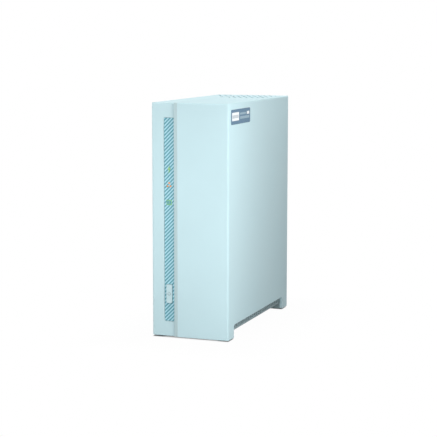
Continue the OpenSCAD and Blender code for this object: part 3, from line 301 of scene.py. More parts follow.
# the inlaid strip: pale rib tops over darker grooves, and painted shade on the walls in the gaps, told
# apart by depth
def ribbedStrip(name, look, face):
    finish = startFinish(name, roughness=0.34, gloss=0.4)
    fine = addNoise(finish, scale=240)
    depth = addAxis(finish, "Y")
    crest = addSlope(finish, depth, *(face + step for step in look["crest"]), 1, 0)
    sunk = addSlope(finish, depth, *(face + step for step in look["sunk"]))
    grooves = mottle(finish, fine, look["groove"], spread=0.05)
    ribbed = layOver(finish, crest, grooves, mottle(finish, fine, look["top"], spread=0.035))
    # surfaces sunk below the face take the wall colour, which is painted shade
    setColour(finish, layOver(finish, sunk, ribbed, mottle(finish, fine, look["wall"], spread=0.05)))
    spreadRoughness(finish, fine, low=0.28, high=0.42)
    addBump(finish, addNoise(finish, scale=2600, detail=2), depth=0.015 * mm, strength=0.4, ease=0)
    return finish["material"]


# plastic of a lamp window, a little cloudy
def startWindow(name, roughness):
    finish = startFinish(name, roughness)
    cloud = addNoise(finish, scale=900, detail=2)
    spreadRoughness(finish, cloud, roughness - 0.06, roughness + 0.08)
    addBump(finish, cloud, depth=0.01 * mm, strength=0.3, ease=0)
    return finish, cloud


# tinted lamp window, lit a little from behind unless its glow is 0
def lampWindow(name, colour, glow):
    finish, cloud = startWindow(name, roughness=0.22)
    setColour(finish, mottle(finish, cloud, colour, spread=0.06))
    finish["shader"].inputs["Emission Color"].default_value = colour
    finish["shader"].inputs["Emission Strength"].default_value = glow
    return finish["material"]


# the drive window: green frame, with the sunk panes in the strip's colour
def framedWindow(name, look, face):
    finish, cloud = startWindow(name, roughness=0.24)
    sunk = addSlope(finish, addAxis(finish, "Y"), *(face + step for step in look["sunk"]))
    rim = mottle(finish, cloud, look["frame"], spread=0.06)
    setColour(finish, layOver(finish, sunk, rim, mottle(finish, cloud, look["pane"], spread=0.06)))
    return finish["material"]


# solder mask over copper: tracks as shallow lines, tinned vias as dots
def circuitBoard(name, look, turn):
    finish = startFinish(name, roughness=0.36)
    flat = mapPlace(finish, turn=turn)
    areas = addNoise(finish, scale=85, detail=1)
    runs = []
    for run in look["runs"]:
        brick = finish["tree"].nodes.new("ShaderNodeTexBrick")
        for socket, value in look["bricks"].items():
            brick.inputs[socket].default_value = value
        brick.inputs["Scale"].default_value = run["scale"]
        along = mapPlace(finish, turn=(0, 0, run["turn"]), place=flat)
        finish["tree"].links.new(along, brick.inputs["Vector"])
        shown = addSlope(finish, areas, *run["shows"])
        runs.append(addMath(finish, "MULTIPLY", brick.outputs["Fac"], shown))
    tracks = addMath(finish, "MAXIMUM", *runs)
    dots = addSlope(finish, addCells(finish, scale=330, place=flat), *look["viaRim"], 1, 0)
    groups = addSlope(finish, addNoise(finish, scale=120, detail=1), *look["viaGroups"])
    vias = addMath(finish, "MULTIPLY", dots, groups)
    weave = addNoise(finish, scale=1400, detail=2)
    mask = mottle(finish, weave, look["mask"], spread=0.06)
    etched = layOver(finish, tracks, mask, mottle(finish, weave, look["track"], spread=0.06))
    setColour(finish, layOver(finish, vias, etched, look["tin"]))
    spreadRoughness(finish, weave, low=0.3, high=0.44)
    addBump(finish, addMath(finish, "MAXIMUM", tracks, vias), depth=0.03 * mm, strength=0.5, ease=0)
    return finish["material"]


# flat cable: insulation ribbed along its cores, with painted shade in the grooves between them, the first
# one marked
def ribbonCable(name, look, low):
    finish = startFinish(name, roughness=0.5)
    pitch, blur = look["pitch"], look["blur"]
    height = addMath(finish, "SUBTRACT", addAxis(finish, "Z"), low)
    wave = addMath(finish, "COSINE", addMath(finish, "MULTIPLY", height, 2 * math.pi / pitch))
    seams = addSlope(finish, wave, -1, 1)
    marked = addSlope(finish, height, pitch - blur, pitch + blur, 1, 0)
    # painted shade: the insulation darker in the grooves between the cores
    skin = addRamp(finish, seams, (0.55, look["colour"]), (0.98, shade(look["colour"], 0.62)))
    setColour(finish, layOver(finish, marked, skin, look["mark"]))
    spreadRoughness(finish, addNoise(finish, scale=400, detail=2), low=0.42, high=0.56)
    addBump(finish, addMath(finish, "SUBTRACT", 1, seams), depth=0.2 * mm, strength=0.9, ease=0)
    return finish["material"]


# enamelled wire wound round the poles
def woundCopper(name, colour):
    finish = startFinish(name, roughness=0.38, metallic=0.9)
    wraps = finish["tree"].nodes.new("ShaderNodeTexWave")
    wraps.bands_direction = "Y"
    wraps.inputs["Scale"].default_value = 800
    wraps.inputs["Distortion"].default_value = 1.2
    wraps.inputs["Detail"].default_value = 2
    finish["tree"].links.new(finish["place"], wraps.inputs["Vector"])
    setColour(finish, mottle(finish, wraps.outputs["Fac"], colour, spread=0.22))
    spreadRoughness(finish, wraps.outputs["Fac"], low=0.3, high=0.5)
    addBump(finish, wraps.outputs["Fac"], depth=0.12 * mm, strength=0.8, ease=0)
    return finish["material"]


# printed film on the side: slate ground with plain blank fields
def printedFilm(name, look, low, high):
    finish = startFinish(name, roughness=0.32, gloss=0.2)
    along, up = addAxis(finish, "Y"), addAxis(finish, "Z")
    width, height = high.y - low.y, high.z - low.z
    fibre = addNoise(finish, scale=1200)
    colour = mottle(finish, fibre, look["ground"], spread=0.04)
    for field in look["fields"]:
        y0, y1 = (low.y + width * share for share in field["along"])
        z0, z1 = (low.z + height * share for share in field["up"])
        mask = addMath(finish, "MULTIPLY", addBand(finish, along, y0, y1), addBand(finish, up, z0, z1))
        colour = layOver(finish, mask, colour, field["colour"])
    setColour(finish, colour)
    spreadRoughness(finish, fibre, low=0.26, high=0.4)
    addBump(finish, fibre, depth=0.008 * mm, strength=0.4, ease=0.15 * mm)
    return finish["material"]


shellLook = {
    "colour": tint(203, 231, 237),
    "edgeColour": tint(198, 221, 225),
    "edgeGap": 0.2 * mm,                       # from the strip to the slanted edge
    "edgeWidth": 3.4 * mm,
    "edgeDepth": 1 * mm,                       # behind the strip's face
    "blur": 0.1 * mm,
    "roughness": 0.5,
    "gloss": 0.2,
    "spread": 0.012,
}
stripLook = {
    "ribRise": 0.25 * mm,
    "groove": tint(93, 164, 178),
    "top": tint(178, 221, 234),
    # painted shade: the dark colour laid on the walls of the gaps
    "wall": tint(52, 84, 92),
    "crest": (-0.17 * mm, -0.08 * mm),         # where rib tops give way to grooves, from the strip's face
    "sunk": (0.04 * mm, 0.12 * mm),            # where the walls of the gaps begin
}
driveLook = {
    "frame": tint(136, 204, 146),
    "pane": tint(92, 158, 178),
    "sunk": (0.05 * mm, 0.1 * mm),             # where the panes begin, from the ribs' tops
}
laminate = {
    "mask": tint(22, 96, 66),
    "track": tint(36, 122, 84),
    "tin": tint(190, 194, 190),
    "bricks": {"Mortar Size": 0.05, "Brick Width": 3.7, "Row Height": 0.28},
    "runs": [
        {"scale": 430, "turn": 0, "shows": (0.5, 0.51, 0, 1)},
        {"scale": 340, "turn": 90, "shows": (0.48, 0.49, 1, 0)},
    ],
    "viaRim": (0.11, 0.13),
    "viaGroups": (0.5, 0.52),
}
boardTurns = {"front_board": (90, 0, 0), "backplane_board": (0, 0, 0)}   # degrees, to lay the tracks flat
ribbonLook = {
    "colour": tint(186, 188, 192),
    "mark": tint(186, 58, 52),
    "pitch": 0.9 * mm,
    "blur": 0.018 * mm,
}
# fields of the film, by shares of its width and height
filmLook = {
    "ground": tint(78, 118, 146),
    "fields": [
        {"along": (0.05, 0.41), "up": (0.24, 0.80), "colour": tint(244, 248, 249)},
        {"along": (0.07, 0.39), "up": (0.41, 0.63), "colour": tint(198, 206, 212)},
        {"along": (0.46, 0.78), "up": (0.60, 0.74), "colour": tint(142, 170, 186)},
        {"along": (0.46, 0.95), "up": (0.31, 0.49), "colour": tint(142, 170, 186)},
        {"along": (0.82, 0.95), "up": (0.58, 0.78), "colour": tint(240, 245, 247)},
    ],
}

stripLow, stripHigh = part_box("front_strip")
stripFace = stripLow.y + stripLook["ribRise"]
edgeLow = stripHigh.x + shellLook["edgeGap"]
edgeAcross = (edgeLow, edgeLow + shellLook["edgeWidth"])
edgeFront = stripFace + shellLook["edgeDepth"]

finishes = {
    "shell_plastic": shellPlastic("shellPlastic", shellLook, edgeAcross, edgeFront),
    "button_plastic": mouldedPlastic("buttonPlastic", tint(200, 226, 231), roughness=0.42, spread=0.012,
                                     gloss=0.3),
    "panel_plastic": mouldedPlastic("panelPlastic", tint(192, 218, 224), roughness=0.5, spread=0.02,
                                    gloss=0.3, grain=1700, depth=0.05 * mm),
    "tray_plastic": mouldedPlastic("trayPlastic", tint(150, 170, 174), roughness=0.55, spread=0.03,
                                   gloss=0.3, grain=1700, depth=0.05 * mm),
    "rubber": mouldedPlastic("footRubber", tint(58, 60, 62), roughness=0.8, spread=0.12,
                             gloss=0.2, grain=1500, depth=0.08 * mm),
    "strip_plastic": ribbedStrip("stripPlastic", stripLook, stripFace),
    "status_lens": lampWindow("statusLens", tint(148, 200, 126), glow=0.06),
    "network_lens": lampWindow("networkLens", tint(238, 158, 92), glow=0.06),
    "activity_lens": framedWindow("driveLens", driveLook, stripLow.y),
    "black_plastic": mouldedPlastic("blackPlastic", tint(34, 35, 37), roughness=0.48, spread=0.15,
                                    grain=1800, depth=0.04 * mm),
    "grey_plastic": mouldedPlastic("plungerPlastic", tint(212, 213, 210), roughness=0.42, spread=0.03),
    "ivory_plastic": mouldedPlastic("connectorPlastic", tint(232, 228, 214), roughness=0.45, spread=0.04),
    "circuit_board": circuitBoard("mainLaminate", laminate, turn=(0, 90, 0)),
    "lamp_resin": lampWindow("lampResin", tint(236, 236, 220), glow=0.0),
    "ribbon_cable": ribbonCable("ribbonCable", ribbonLook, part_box("panel_ribbon")[0].z),
    "chip_resin": mouldedPlastic("chipResin", tint(36, 37, 39), roughness=0.58, spread=0.12,
                                 gloss=0.35, grain=2600),
    "sink_aluminium": drawnMetal("sinkAluminium", tint(176, 180, 184), (1, 1, 0.05), roughness=0.42),
    "can_aluminium": drawnMetal("canAluminium", tint(206, 208, 210), (0.05, 1, 1), roughness=0.3),
    "ferrite": mouldedPlastic("ferriteBlock", tint(66, 67, 70), roughness=0.62, spread=0.15,
                              gloss=0.3, grain=1300, depth=0.08 * mm),
    "cell_steel": drawnMetal("cellSteel", tint(196, 198, 200), (1, 0.05, 1), roughness=0.28),
    "lead_insulation": mouldedPlastic("leadInsulation", tint(150, 30, 30), roughness=0.45, spread=0.06),
    "tinned_steel": drawnMetal("tinnedSteel", tint(204, 206, 208), (1, 0.06, 1), roughness=0.3),
    "tongue_plastic": mouldedPlastic("tonguePlastic", tint(40, 92, 176), roughness=0.42, spread=0.08),
    "plated_pin": drawnMetal("platedPin", tint(222, 222, 224), (1, 0.05, 1), roughness=0.18),
    "cage_steel": galvanisedSheet("cageSteel", tint(186, 190, 194)),
    "cast_aluminium": castMetal("driveCasting", tint(168, 171, 175)),
    "lid_steel": drawnMetal("lidSteel", tint(198, 201, 205), (1, 1, 0.03), roughness=0.32),
    "fan_plastic": mouldedPlastic("fanPlastic", tint(38, 39, 41), roughness=0.4, spread=0.12,
                                  gloss=0.45, grain=1600),
    "shaft_steel": drawnMetal("shaftSteel", tint(200, 202, 204), (1, 0.05, 1), roughness=0.2),
    "bearing_bronze": castMetal("bearingBronze", tint(196, 150, 84)),
    "stator_copper": woundCopper("statorCopper", tint(190, 108, 58)),
    "label_film": printedFilm("labelFilm", filmLook, *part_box("side_label")),
    "screw_steel": drawnMetal("screwSteel", tint(190, 192, 195), (1, 1, 1), roughness=0.3),
}


def giveFinish(piece, material):
    piece.data.materials.clear()
    piece.data.materials.append(material)


for row in frame["record"]["subparts"]:
    giveFinish(nodes[row["node"]], finishes[row["material_slot"]])
for node, turn in boardTurns.items():
    giveFinish(nodes[node], circuitBoard(node + "Laminate", laminate, turn))
print("finishes given,", len(finishes))

# shared ways to model a piece
weldGap = 0.001 * mm
sortDigits = 5                                 # of a place in metres


def addBlock(bm, low, high, ease=0.0, steps=2):
    low, high = Vector(low), Vector(high)
    place = Matrix.Translation((low + high) / 2) @ Matrix.Diagonal((*(high - low), 1))
    made = bmesh.ops.create_cube(bm, size=1, matrix=place)["verts"]
    if ease:
        edges = {edge for vert in made for edge in vert.link_edges}
        bmesh.ops.bevel(bm, geom=list(edges), offset=ease, offset_type="OFFSET", segments=steps,
                        profile=0.5, affect="EDGES", clamp_overlap=True, material=-1)


def addRod(bm, start, end, radius, sides):
    start, end = Vector(start), Vector(end)
    line = end - start
    place = Matrix.Translation((start + end) / 2) @ line.to_track_quat("Z", "Y").to_matrix().to_4x4()
    bmesh.ops.create_cone(bm, cap_ends=True, segments=sides, radius1=radius, radius2=radius,
                          depth=line.length, matrix=place)


def finishPiece(name, bm, body, slot, *materials, sharp=35):
    bmesh.ops.recalc_face_normals(bm, faces=bm.faces)
    mesh = bpy.data.meshes.new(name)
    bm.to_mesh(mesh)
    bm.free()
    mesh.shade_smooth()
    mesh.set_sharp_from_angle(angle=math.radians(sharp))
    piece = bpy.data.objects.new(name, mesh)
    scene.collection.objects.link(piece)
    for material in materials:
        mesh.materials.append(material)
    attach(piece, body)
    return piece


# boxes of the separate solids in a node, lowest first
def solidBoxes(node):
    bm = bmesh.new()
    bm.from_mesh(nodes[node].data)
    bmesh.ops.remove_doubles(bm, verts=bm.verts, dist=weldGap)
    left = set(bm.verts)
    boxes = []
    while left:
        island, edge = set(), {left.pop()}
        while edge:
            island |= edge
            edge = {link.other_vert(vert) for vert in edge for link in vert.link_edges} - island
        left -= island
        places = list(zip(*(vert.co for vert in island)))
        boxes.append((Vector([min(p) for p in places]), Vector([max(p) for p in places])))
    bm.free()
    return sorted(boxes, key=lambda box: (round(box[0].z, sortDigits), round(box[0].y, sortDigits)))


# power mark on the button: an open ring with a bar in the gap
powerMark = {
    "radius": 1.15 * mm,
    "line": 0.3 * mm,
    "rise": 0.04 * mm,
    "open": 76,                                # degrees
    "bar": 1.2 * mm,
    "steps": 40,
    "ink": tint(134, 152, 158),
}


def makePowerMark(mark):
    low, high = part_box("power_button")
    middle = Vector(((low.x + high.x) / 2, low.y, (low.z + high.z) / 2))
    inner, outer = mark["radius"] - mark["line"] / 2, mark["radius"] + mark["line"] / 2
    start = Matrix.Rotation(math.radians(mark["open"] / 2), 3, "Y")
    rise = mark["rise"]
    corners = ((inner, -rise), (outer, -rise), (outer, rise), (inner, rise))
    bm = bmesh.new()
    section = bm.faces.new([bm.verts.new(middle + start @ Vector((0, y, reach))) for reach, y in corners])
    bmesh.ops.spin(bm, geom=[section, *section.edges, *section.verts], cent=middle, axis=(0, 1, 0),
                   angle=math.radians(360 - mark["open"]), steps=mark["steps"])
    half = Vector((mark["line"] / 2, rise, mark["bar"] / 2))
    barMiddle = middle + Vector((0, 0, mark["radius"]))
    addBlock(bm, barMiddle - half, barMiddle + half)
    markInk = mouldedPlastic("markInk", mark["ink"], roughness=0.4, spread=0.03)
    finishPiece("powerMark", bm, "power_button", "button_plastic", markInk)


makePowerMark(powerMark)
print("power mark made")

# parts soldered to the boards
contactGold = drawnMetal("contactGold", tint(214, 176, 96), (1, 0.06, 1), roughness=0.26)
tinnedEnd = drawnMetal("tinnedEnd", tint(208, 210, 208), (1, 1, 1), roughness=0.36)
ceramicTan = mouldedPlastic("ceramicTan", tint(172, 142, 110), roughness=0.5, spread=0.08)
filmBlack = mouldedPlastic("filmBlack", tint(30, 31, 33), roughness=0.4, spread=0.1)

# two directions along each board, and the one that its parts stand in
boardFrames = {
    "main_board": ((0, 1, 0), (0, 0, 1), (1, 0, 0)),
    "front_board": ((-1, 0, 0), (0, 0, 1), (0, 1, 0)),
    "backplane_board": ((1, 0, 0), (0, 1, 0), (0, 0, 1)),
}
# chips, in mm: middle across and up the board, size and height, then the leads on each side that has them
boardChips = {
    "main_board": [
        {"at": (-14, 96), "size": (9, 9), "height": 1.4, "leads": 11, "sides": 4},
        {"at": (44, 68), "size": (7, 7), "height": 1.0, "leads": 9, "sides": 4},
        {"at": (24, 31), "size": (4, 5), "height": 1.5, "leads": 4, "sides": 2},
        {"at": (45, 55), "size": (4, 5), "height": 1.5, "leads": 4, "sides": 2},
        {"at": (10, 98), "size": (4, 5), "height": 1.5, "leads": 4, "sides": 2},
        {"at": (26, 99), "size": (6, 5), "height": 1.4, "leads": 6, "sides": 2},
        {"at": (17, 42), "size": (18.4, 12), "height": 1.2, "leads": 24, "sides": 2,
         "bare": True},                        # leads for a chip that is a node of its own
    ],
    "front_board": [{"at": (22, 112), "size": (3.4, 4), "height": 1.2, "leads": 4, "sides": 2}],
    "backplane_board": [{"at": (14, -20), "size": (4, 5), "height": 1.5, "leads": 4, "sides": 2}],
}
chipForm = {
    "standOff": 0.12 * mm,
    "ease": 0.15 * mm,
    "leadWidth": 0.24 * mm,
    "leadLength": 0.9 * mm,
    "leadThick": 0.16 * mm,
    "leadRoot": 0.1 * mm,                      # inside the chip's body
}
boardStock = {
    "seed": 11,
    "counts": {"main_board": 150, "front_board": 26, "backplane_board": 34},
    "margin": 1.2 * mm,
    "gap": 0.5 * mm,
    "capRise": 0.02 * mm,
    "above": 2.0 * mm,                         # a solid within these of a board's face takes room on it
    "below": 2.5 * mm,
    "longest": 120 * mm,                       # walls of the case are longer, and take none
    "kinds": [
        {"size": (1.6, 0.8, 0.45), "cap": 0.2, "ceramic": False},
        {"size": (1.0, 0.5, 0.35), "cap": 0.24, "ceramic": False},
        {"size": (1.6, 0.8, 0.8), "cap": 0.2, "ceramic": True},
        {"size": (2.0, 1.25, 1.1), "cap": 0.2, "ceramic": True},
        {"size": (3.2, 1.6, 1.4), "cap": 0.16, "ceramic": True},
    ],
}


# a board's own frame: its axes, and the matrix that stands parts on its face
def boardPlace(node):
    low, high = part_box(node)
    axes = [Vector(axis) for axis in boardFrames[node]]
    level = max(low @ axes[2], high @ axes[2])
    return axes, Matrix.Translation(axes[2] * level) @ Matrix(axes).transposed().to_4x4()


# block given in a board's own frame
def placeBlock(bm, place, low, high, ease=0.0):
    before = set(bm.verts)
    addBlock(bm, low, high, ease, steps=1)
    bmesh.ops.transform(bm, matrix=place, verts=[vert for vert in bm.verts if vert not in before])


# a box's spans along a board's axes
def spansOn(box, axes):
    return [sorted((box[0] @ axis, box[1] @ axis)) for axis in axes]


def clear(first, second, gap):
    return any(a[1] + gap < b[0] or b[1] + gap < a[0] for a, b in zip(first[:2], second[:2]))


# low and high corner of a chip on its board, widened by a reach
def chipCorners(chip, reach=0.0):
    low = [(c - s / 2) * mm - reach for c, s in zip(chip["at"], chip["size"])]
    high = [(c + s / 2) * mm + reach for c, s in zip(chip["at"], chip["size"])]
    return low, high


def addLeads(bm, place, chip, form):
    low, high = chipCorners(chip)
    for side in range(chip["sides"]):
        axis, far = divmod(side, 2)
        along = 1 - axis
        edge, outward = (high[axis], 1) if far else (low[axis], -1)
        ends = sorted((edge - outward * form["leadRoot"], edge + outward * form["leadLength"]))
        pitch = (high[along] - low[along]) / (chip["leads"] + 1)
        for i in range(chip["leads"]):
            spot = low[along] + pitch * (i + 1)
            lowLead, highLead = [0, 0, 0], [0, 0, form["leadThick"]]
            lowLead[axis], highLead[axis] = ends
            lowLead[along], highLead[along] = spot - form["leadWidth"] / 2, spot + form["leadWidth"] / 2
            placeBlock(bm, place, lowLead, highLead)


def fitChips(chips, form):
    bodies, leads = bmesh.new(), bmesh.new()
    for node, rows in chips.items():
        place = boardPlace(node)[1]
        for chip in rows:
            low, high = chipCorners(chip)
            if not chip.get("bare"):
                foot, top = (*low, form["standOff"]), (*high, chip["height"] * mm)
                placeBlock(bodies, place, foot, top, form["ease"])
            addLeads(leads, place, chip, form)
    finishPiece("boardChips", bodies, "chassis", "chip_resin", finishes["chip_resin"])
    finishPiece("boardLeads", leads, "chassis", "tinned_steel", tinnedEnd)


# places on a board that chips and other solids stand on or reach through
def takenSpans(node, axes, level, stock):
    board = spansOn(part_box(node), axes)
    taken = [list(zip(*chipCorners(chip, chipForm["leadLength"]))) for chip in boardChips[node]]
    for other in nodes:
        if other == node:
            continue
        for box in solidBoxes(other):
            spans = spansOn(box, axes)
            near = spans[2][0] < level + stock["above"] and spans[2][1] > level - stock["below"]
            short = max(span[1] - span[0] for span in spans[:2]) < stock["longest"]
            if near and short and not clear(spans, board, 0):
                taken.append(spans)
    return board, taken


def stockBoards(stock):
    draw = random.Random(stock["seed"])
    films, ceramics, caps = bmesh.new(), bmesh.new(), bmesh.new()
    for node, count in stock["counts"].items():
        axes, place = boardPlace(node)
        board, taken = takenSpans(node, axes, place.translation @ axes[2], stock)
        for _ in range(count):
            kind = draw.choice(stock["kinds"])
            length, width, height = (s * mm for s in kind["size"])
            lie = draw.randrange(2)
            size = (length, width) if lie == 0 else (width, length)
            inset = [stock["margin"] + s / 2 for s in size]
            spot = [draw.uniform(span[0] + i, span[1] - i) for span, i in zip(board, inset)]
            low = [p - s / 2 for p, s in zip(spot, size)] + [0]
            high = [p + s / 2 for p, s in zip(spot, size)] + [height]
            spans = list(zip(low, high))
            if not all(clear(spans, other, stock["gap"]) for other in taken):
                continue
            taken.append(spans)
            bodyLow, bodyHigh = list(low), list(high)
            bodyLow[lie] += length * kind["cap"]
            bodyHigh[lie] -= length * kind["cap"]
            placeBlock(ceramics if kind["ceramic"] else films, place, bodyLow, bodyHigh)
            for start, end in ((low[lie], bodyLow[lie]), (bodyHigh[lie], high[lie])):
                capLow, capHigh = list(low), list(high)
                capLow[lie], capHigh[lie] = start, end
                capHigh[2] += stock["capRise"]
                placeBlock(caps, place, capLow, capHigh)
    finishPiece("boardFilms", films, "chassis", "chip_resin", filmBlack)
    finishPiece("boardCeramics", ceramics, "chassis", "ivory_plastic", ceramicTan)
    finishPiece("boardCaps", caps, "chassis", "tinned_steel", tinnedEnd)


fitChips(boardChips, chipForm)
stockBoards(boardStock)
print("boards stocked")

# wires of the fan's lead, one colour each, from the plug to the fan frame
fanWires = {
    "route": [(-13.6, 44, 103), (-12.6, 44, 103), (-11.1, 44, 103), (-9.4, 46, 104), (-9.6, 51, 106.5),
              (-12.6, 58, 109), (-15.1, 63, 110.5), (-16, 65.6, 112), (-16, 66, 114), (-16, 66, 115),
              (-16, 66, 116)],                 # mm
    "curveSteps": 6,
    "radius": 0.55 * mm,
    "step": 1.3 * mm,
    "sharp": 60,                               # degrees
    "colours": {
        "wireBlack": tint(40, 40, 42),
        "wireRed": tint(176, 40, 38),
        "wireYellow": tint(224, 190, 66),
    },
}


# smooth curve through the points
def smoothRoute(points, steps):
    route = []
    last = len(points) - 1
    for i in range(last):
        a, b, c, d = (points[max(0, min(k, last))] for k in (i - 1, i, i + 1, i + 2))
        for k in range(steps):
            t = k / steps
            route.append((2 * b + (c - a) * t + (2 * a - 5 * b + 4 * c - d) * t ** 2
                          + (3 * b - a - 3 * c + d) * t ** 3) / 2)
    return route + [points[last]]


# round wire along a line of points, as faces of one material slot
def addWire(bm, points, radius, slot):
    data = bpy.data.curves.new("wireLine", "CURVE")
    data.dimensions = "3D"
    data.bevel_depth = radius
    data.bevel_resolution = 3
    data.use_fill_caps = True
    line = data.splines.new("POLY")
    line.points.add(len(points) - 1)
    for point, place in zip(line.points, points):
        point.co = (*place, 1)
    carrier = bpy.data.objects.new("wireLine", data)
    before = len(bm.faces)
    bm.from_mesh(carrier.to_mesh())
    bm.faces.ensure_lookup_table()
    for face in bm.faces[before:]:
        face.material_index = slot
    carrier.to_mesh_clear()
    bpy.data.objects.remove(carrier)
    bpy.data.curves.remove(data)


def layFanWires(wires):
    route = smoothRoute([Vector(point) * mm for point in wires["route"]], wires["curveSteps"])
    start, reach = route[0].y, route[-1].y - route[0].y
    # one above the other at the plug, side by side at the fan
    shares = [(point.y - start) / reach for point in route]
    sides = [Vector((share, 0, 1 - share)).normalized() for share in shares]
    bm = bmesh.new()
    for i in range(len(wires["colours"])):
        offset = (i - (len(wires["colours"]) - 1) / 2) * wires["step"]
        addWire(bm, [point + side * offset for point, side in zip(route, sides)], wires["radius"], i)
    skins = [mouldedPlastic(name, colour, roughness=0.42, spread=0.05)
             for name, colour in wires["colours"].items()]
    piece = finishPiece("fanWires", bm, "chassis", "lead_insulation", *skins, sharp=wires["sharp"])
    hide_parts("fan_lead")


layFanWires(fanWires)
print("fan wires laid")

# contacts, dark liner and lamps in the rear sockets
networkSocket = {
    "mouth": (1.8 * mm, 9.8 * mm, 5.9 * mm),   # low side, high side, half width
    "latch": (12.0 * mm, 3.2 * mm),            # the latch slot's high side and half width
    "depth": 15 * mm,
    "linerThick": 0.3 * mm,
    "linerBack": 0.5 * mm,                     # from the socket's face
    "contacts": 8,
    "contactPitch": 1.02 * mm,
    "contactRadius": 0.22 * mm,
    "contactSides": 10,
    "contactFront": (2.0 * mm, 2.0 * mm),      # ends, above the low side and behind the face
    "contactRear": (5.2 * mm, 13 * mm),
    "lampColours": (tint(120, 196, 96), tint(232, 176, 72)),
    "lampSide": 1.5 * mm,
    "lampOut": 6.9 * mm,                       # from the socket's middle
    "lampInset": 0.5 * mm,                     # from its high side
    "lampDepth": 2 * mm,
    "lampRise": 0.08 * mm,
    "lampEase": 0.1 * mm,
}
tongueStrips = {
    "spots": (-3.5 * mm, -1.0 * mm, 1.0 * mm, 3.5 * mm),
    "width": 1.0 * mm,
    "faceBack": 2.4 * mm,                      # from the tongue's high side to the one the plug slides over
    "sink": 0.1 * mm,
    "rise": 0.06 * mm,
    "ends": (3 * mm, 0.8 * mm),                # left bare at the inner and the outer end
}


def fitContacts(socket, strips):
    low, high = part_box("lan_port")
    gold = bmesh.new()
    for i in range(socket["contacts"]):
        z = (low.z + high.z) / 2 + (i - (socket["contacts"] - 1) / 2) * socket["contactPitch"]
        ends = [(low.x + up, high.y - back, z)
                for up, back in (socket["contactFront"], socket["contactRear"])]
        addRod(gold, *ends, socket["contactRadius"], socket["contactSides"])
    for low, high in solidBoxes("usb_tongues"):
        face = high.x - strips["faceBack"]
        for spot in strips["spots"]:
            z = (low.z + high.z) / 2 + spot
            addBlock(gold, (face - strips["rise"], low.y + strips["ends"][0], z - strips["width"] / 2),
                     (face + strips["sink"], high.y - strips["ends"][1], z + strips["width"] / 2))
    finishPiece("socketContacts", gold, "chassis", "plated_pin", contactGold)


# liner of the network socket, one thin wall on each side of its mouth and latch slot
def lineMouth(socket):
    low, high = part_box("lan_port")
    middle = (low.z + high.z) / 2
    thick = socket["linerThick"]
    floor, roof, half = socket["mouth"]
    top, narrow = socket["latch"]
    back, front = high.y - socket["depth"], high.y - socket["linerBack"]
    walls = [
        ((floor, -half), (roof, half), back + thick),
        ((roof, -narrow), (top, narrow), back + thick),
        ((floor, -half), (floor + thick, half), front),
        ((floor, -half), (roof, thick - half), front),
        ((floor, half - thick), (roof, half), front),
        ((roof - thick, -half), (roof, -narrow), front),
        ((roof - thick, narrow), (roof, half), front),
        ((roof, -narrow), (top, thick - narrow), front),
        ((roof, narrow - thick), (top, narrow), front),
        ((top - thick, -narrow), (top, narrow), front),
    ]
    bm = bmesh.new()
    for (x0, z0), (x1, z1), end in walls:
        addBlock(bm, (low.x + x0, back, middle + z0), (low.x + x1, end, middle + z1))
    finishPiece("socketLiner", bm, "chassis", "black_plastic", finishes["black_plastic"])


def fitLinkLamps(socket):
    low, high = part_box("lan_port")
    lamps = bmesh.new()
    side = socket["lampSide"]
    top = high.x - socket["lampInset"]
    for i, end in enumerate((-1, 1)):
        z = (low.z + high.z) / 2 + end * socket["lampOut"]
        before = set(lamps.faces)
        addBlock(lamps, (top - side, high.y - socket["lampDepth"], z - side / 2),
                 (top, high.y + socket["lampRise"], z + side / 2), socket["lampEase"])
        for face in set(lamps.faces) - before:
            face.material_index = i
    lenses = [lampWindow("linkLens" + str(i), colour, glow=0.0)
              for i, colour in enumerate(socket["lampColours"])]
    finishPiece("socketLamps", lamps, "chassis", "lamp_resin", *lenses)


fitContacts(networkSocket, tongueStrips)
lineMouth(networkSocket)
fitLinkLamps(networkSocket)
print("sockets fitted")

# bases of the capacitors, and the mark on each can's top
canDress = {
    "baseSide": 6.9 * mm,
    "baseHeight": 1.3 * mm,
    "baseEase": 0.35 * mm,
    "markRadius": 2.75 * mm,
    "markSides": 40,
    "markFrom": 0.9 * mm,                      # from the can's middle to the straight edge of its mark
    "markSink": 0.1 * mm,
    "markRise": 0.03 * mm,
}


# round mark, cut off along a straight edge
def addCanMark(bm, dress, top, y, z):
    mark = bmesh.new()
    addRod(mark, (top - dress["markSink"], y, z), (top + dress["markRise"], y, z),
           dress["markRadius"], dress["markSides"])
    cut = bmesh.ops.bisect_plane(mark, geom=[*mark.verts, *mark.edges, *mark.faces], clear_inner=True,
                                 plane_co=(0, y + dress["markFrom"], 0), plane_no=(0, 1, 0))
    rim = [part for part in cut["geom_cut"] if isinstance(part, bmesh.types.BMEdge)]
    bmesh.ops.contextual_create(mark, geom=rim)
    mesh = bpy.data.meshes.new("canMark")
    mark.to_mesh(mesh)
    mark.free()
    bm.from_mesh(mesh)
    bpy.data.meshes.remove(mesh)


def dressCans(dress):
    bases, marks = bmesh.new(), bmesh.new()
    half = dress["baseSide"] / 2
    for low, high in solidBoxes("capacitors"):
        y, z = (low.y + high.y) / 2, (low.z + high.z) / 2
        addBlock(bases, (low.x, y - half, z - half), (low.x + dress["baseHeight"], y + half, z + half),
                 dress["baseEase"], steps=1)
        addCanMark(marks, dress, high.x, y, z)
    finishPiece("canBases", bases, "chassis", "black_plastic", finishes["black_plastic"])
    finishPiece("canMarks", marks, "chassis", "chip_resin", filmBlack)


# spring strap over the coin cell, bent down at both ends of its holder
cellStrap = {
    "width": 6.0 * mm,
    "thick": 0.3 * mm,
    "ease": 0.1 * mm,
}


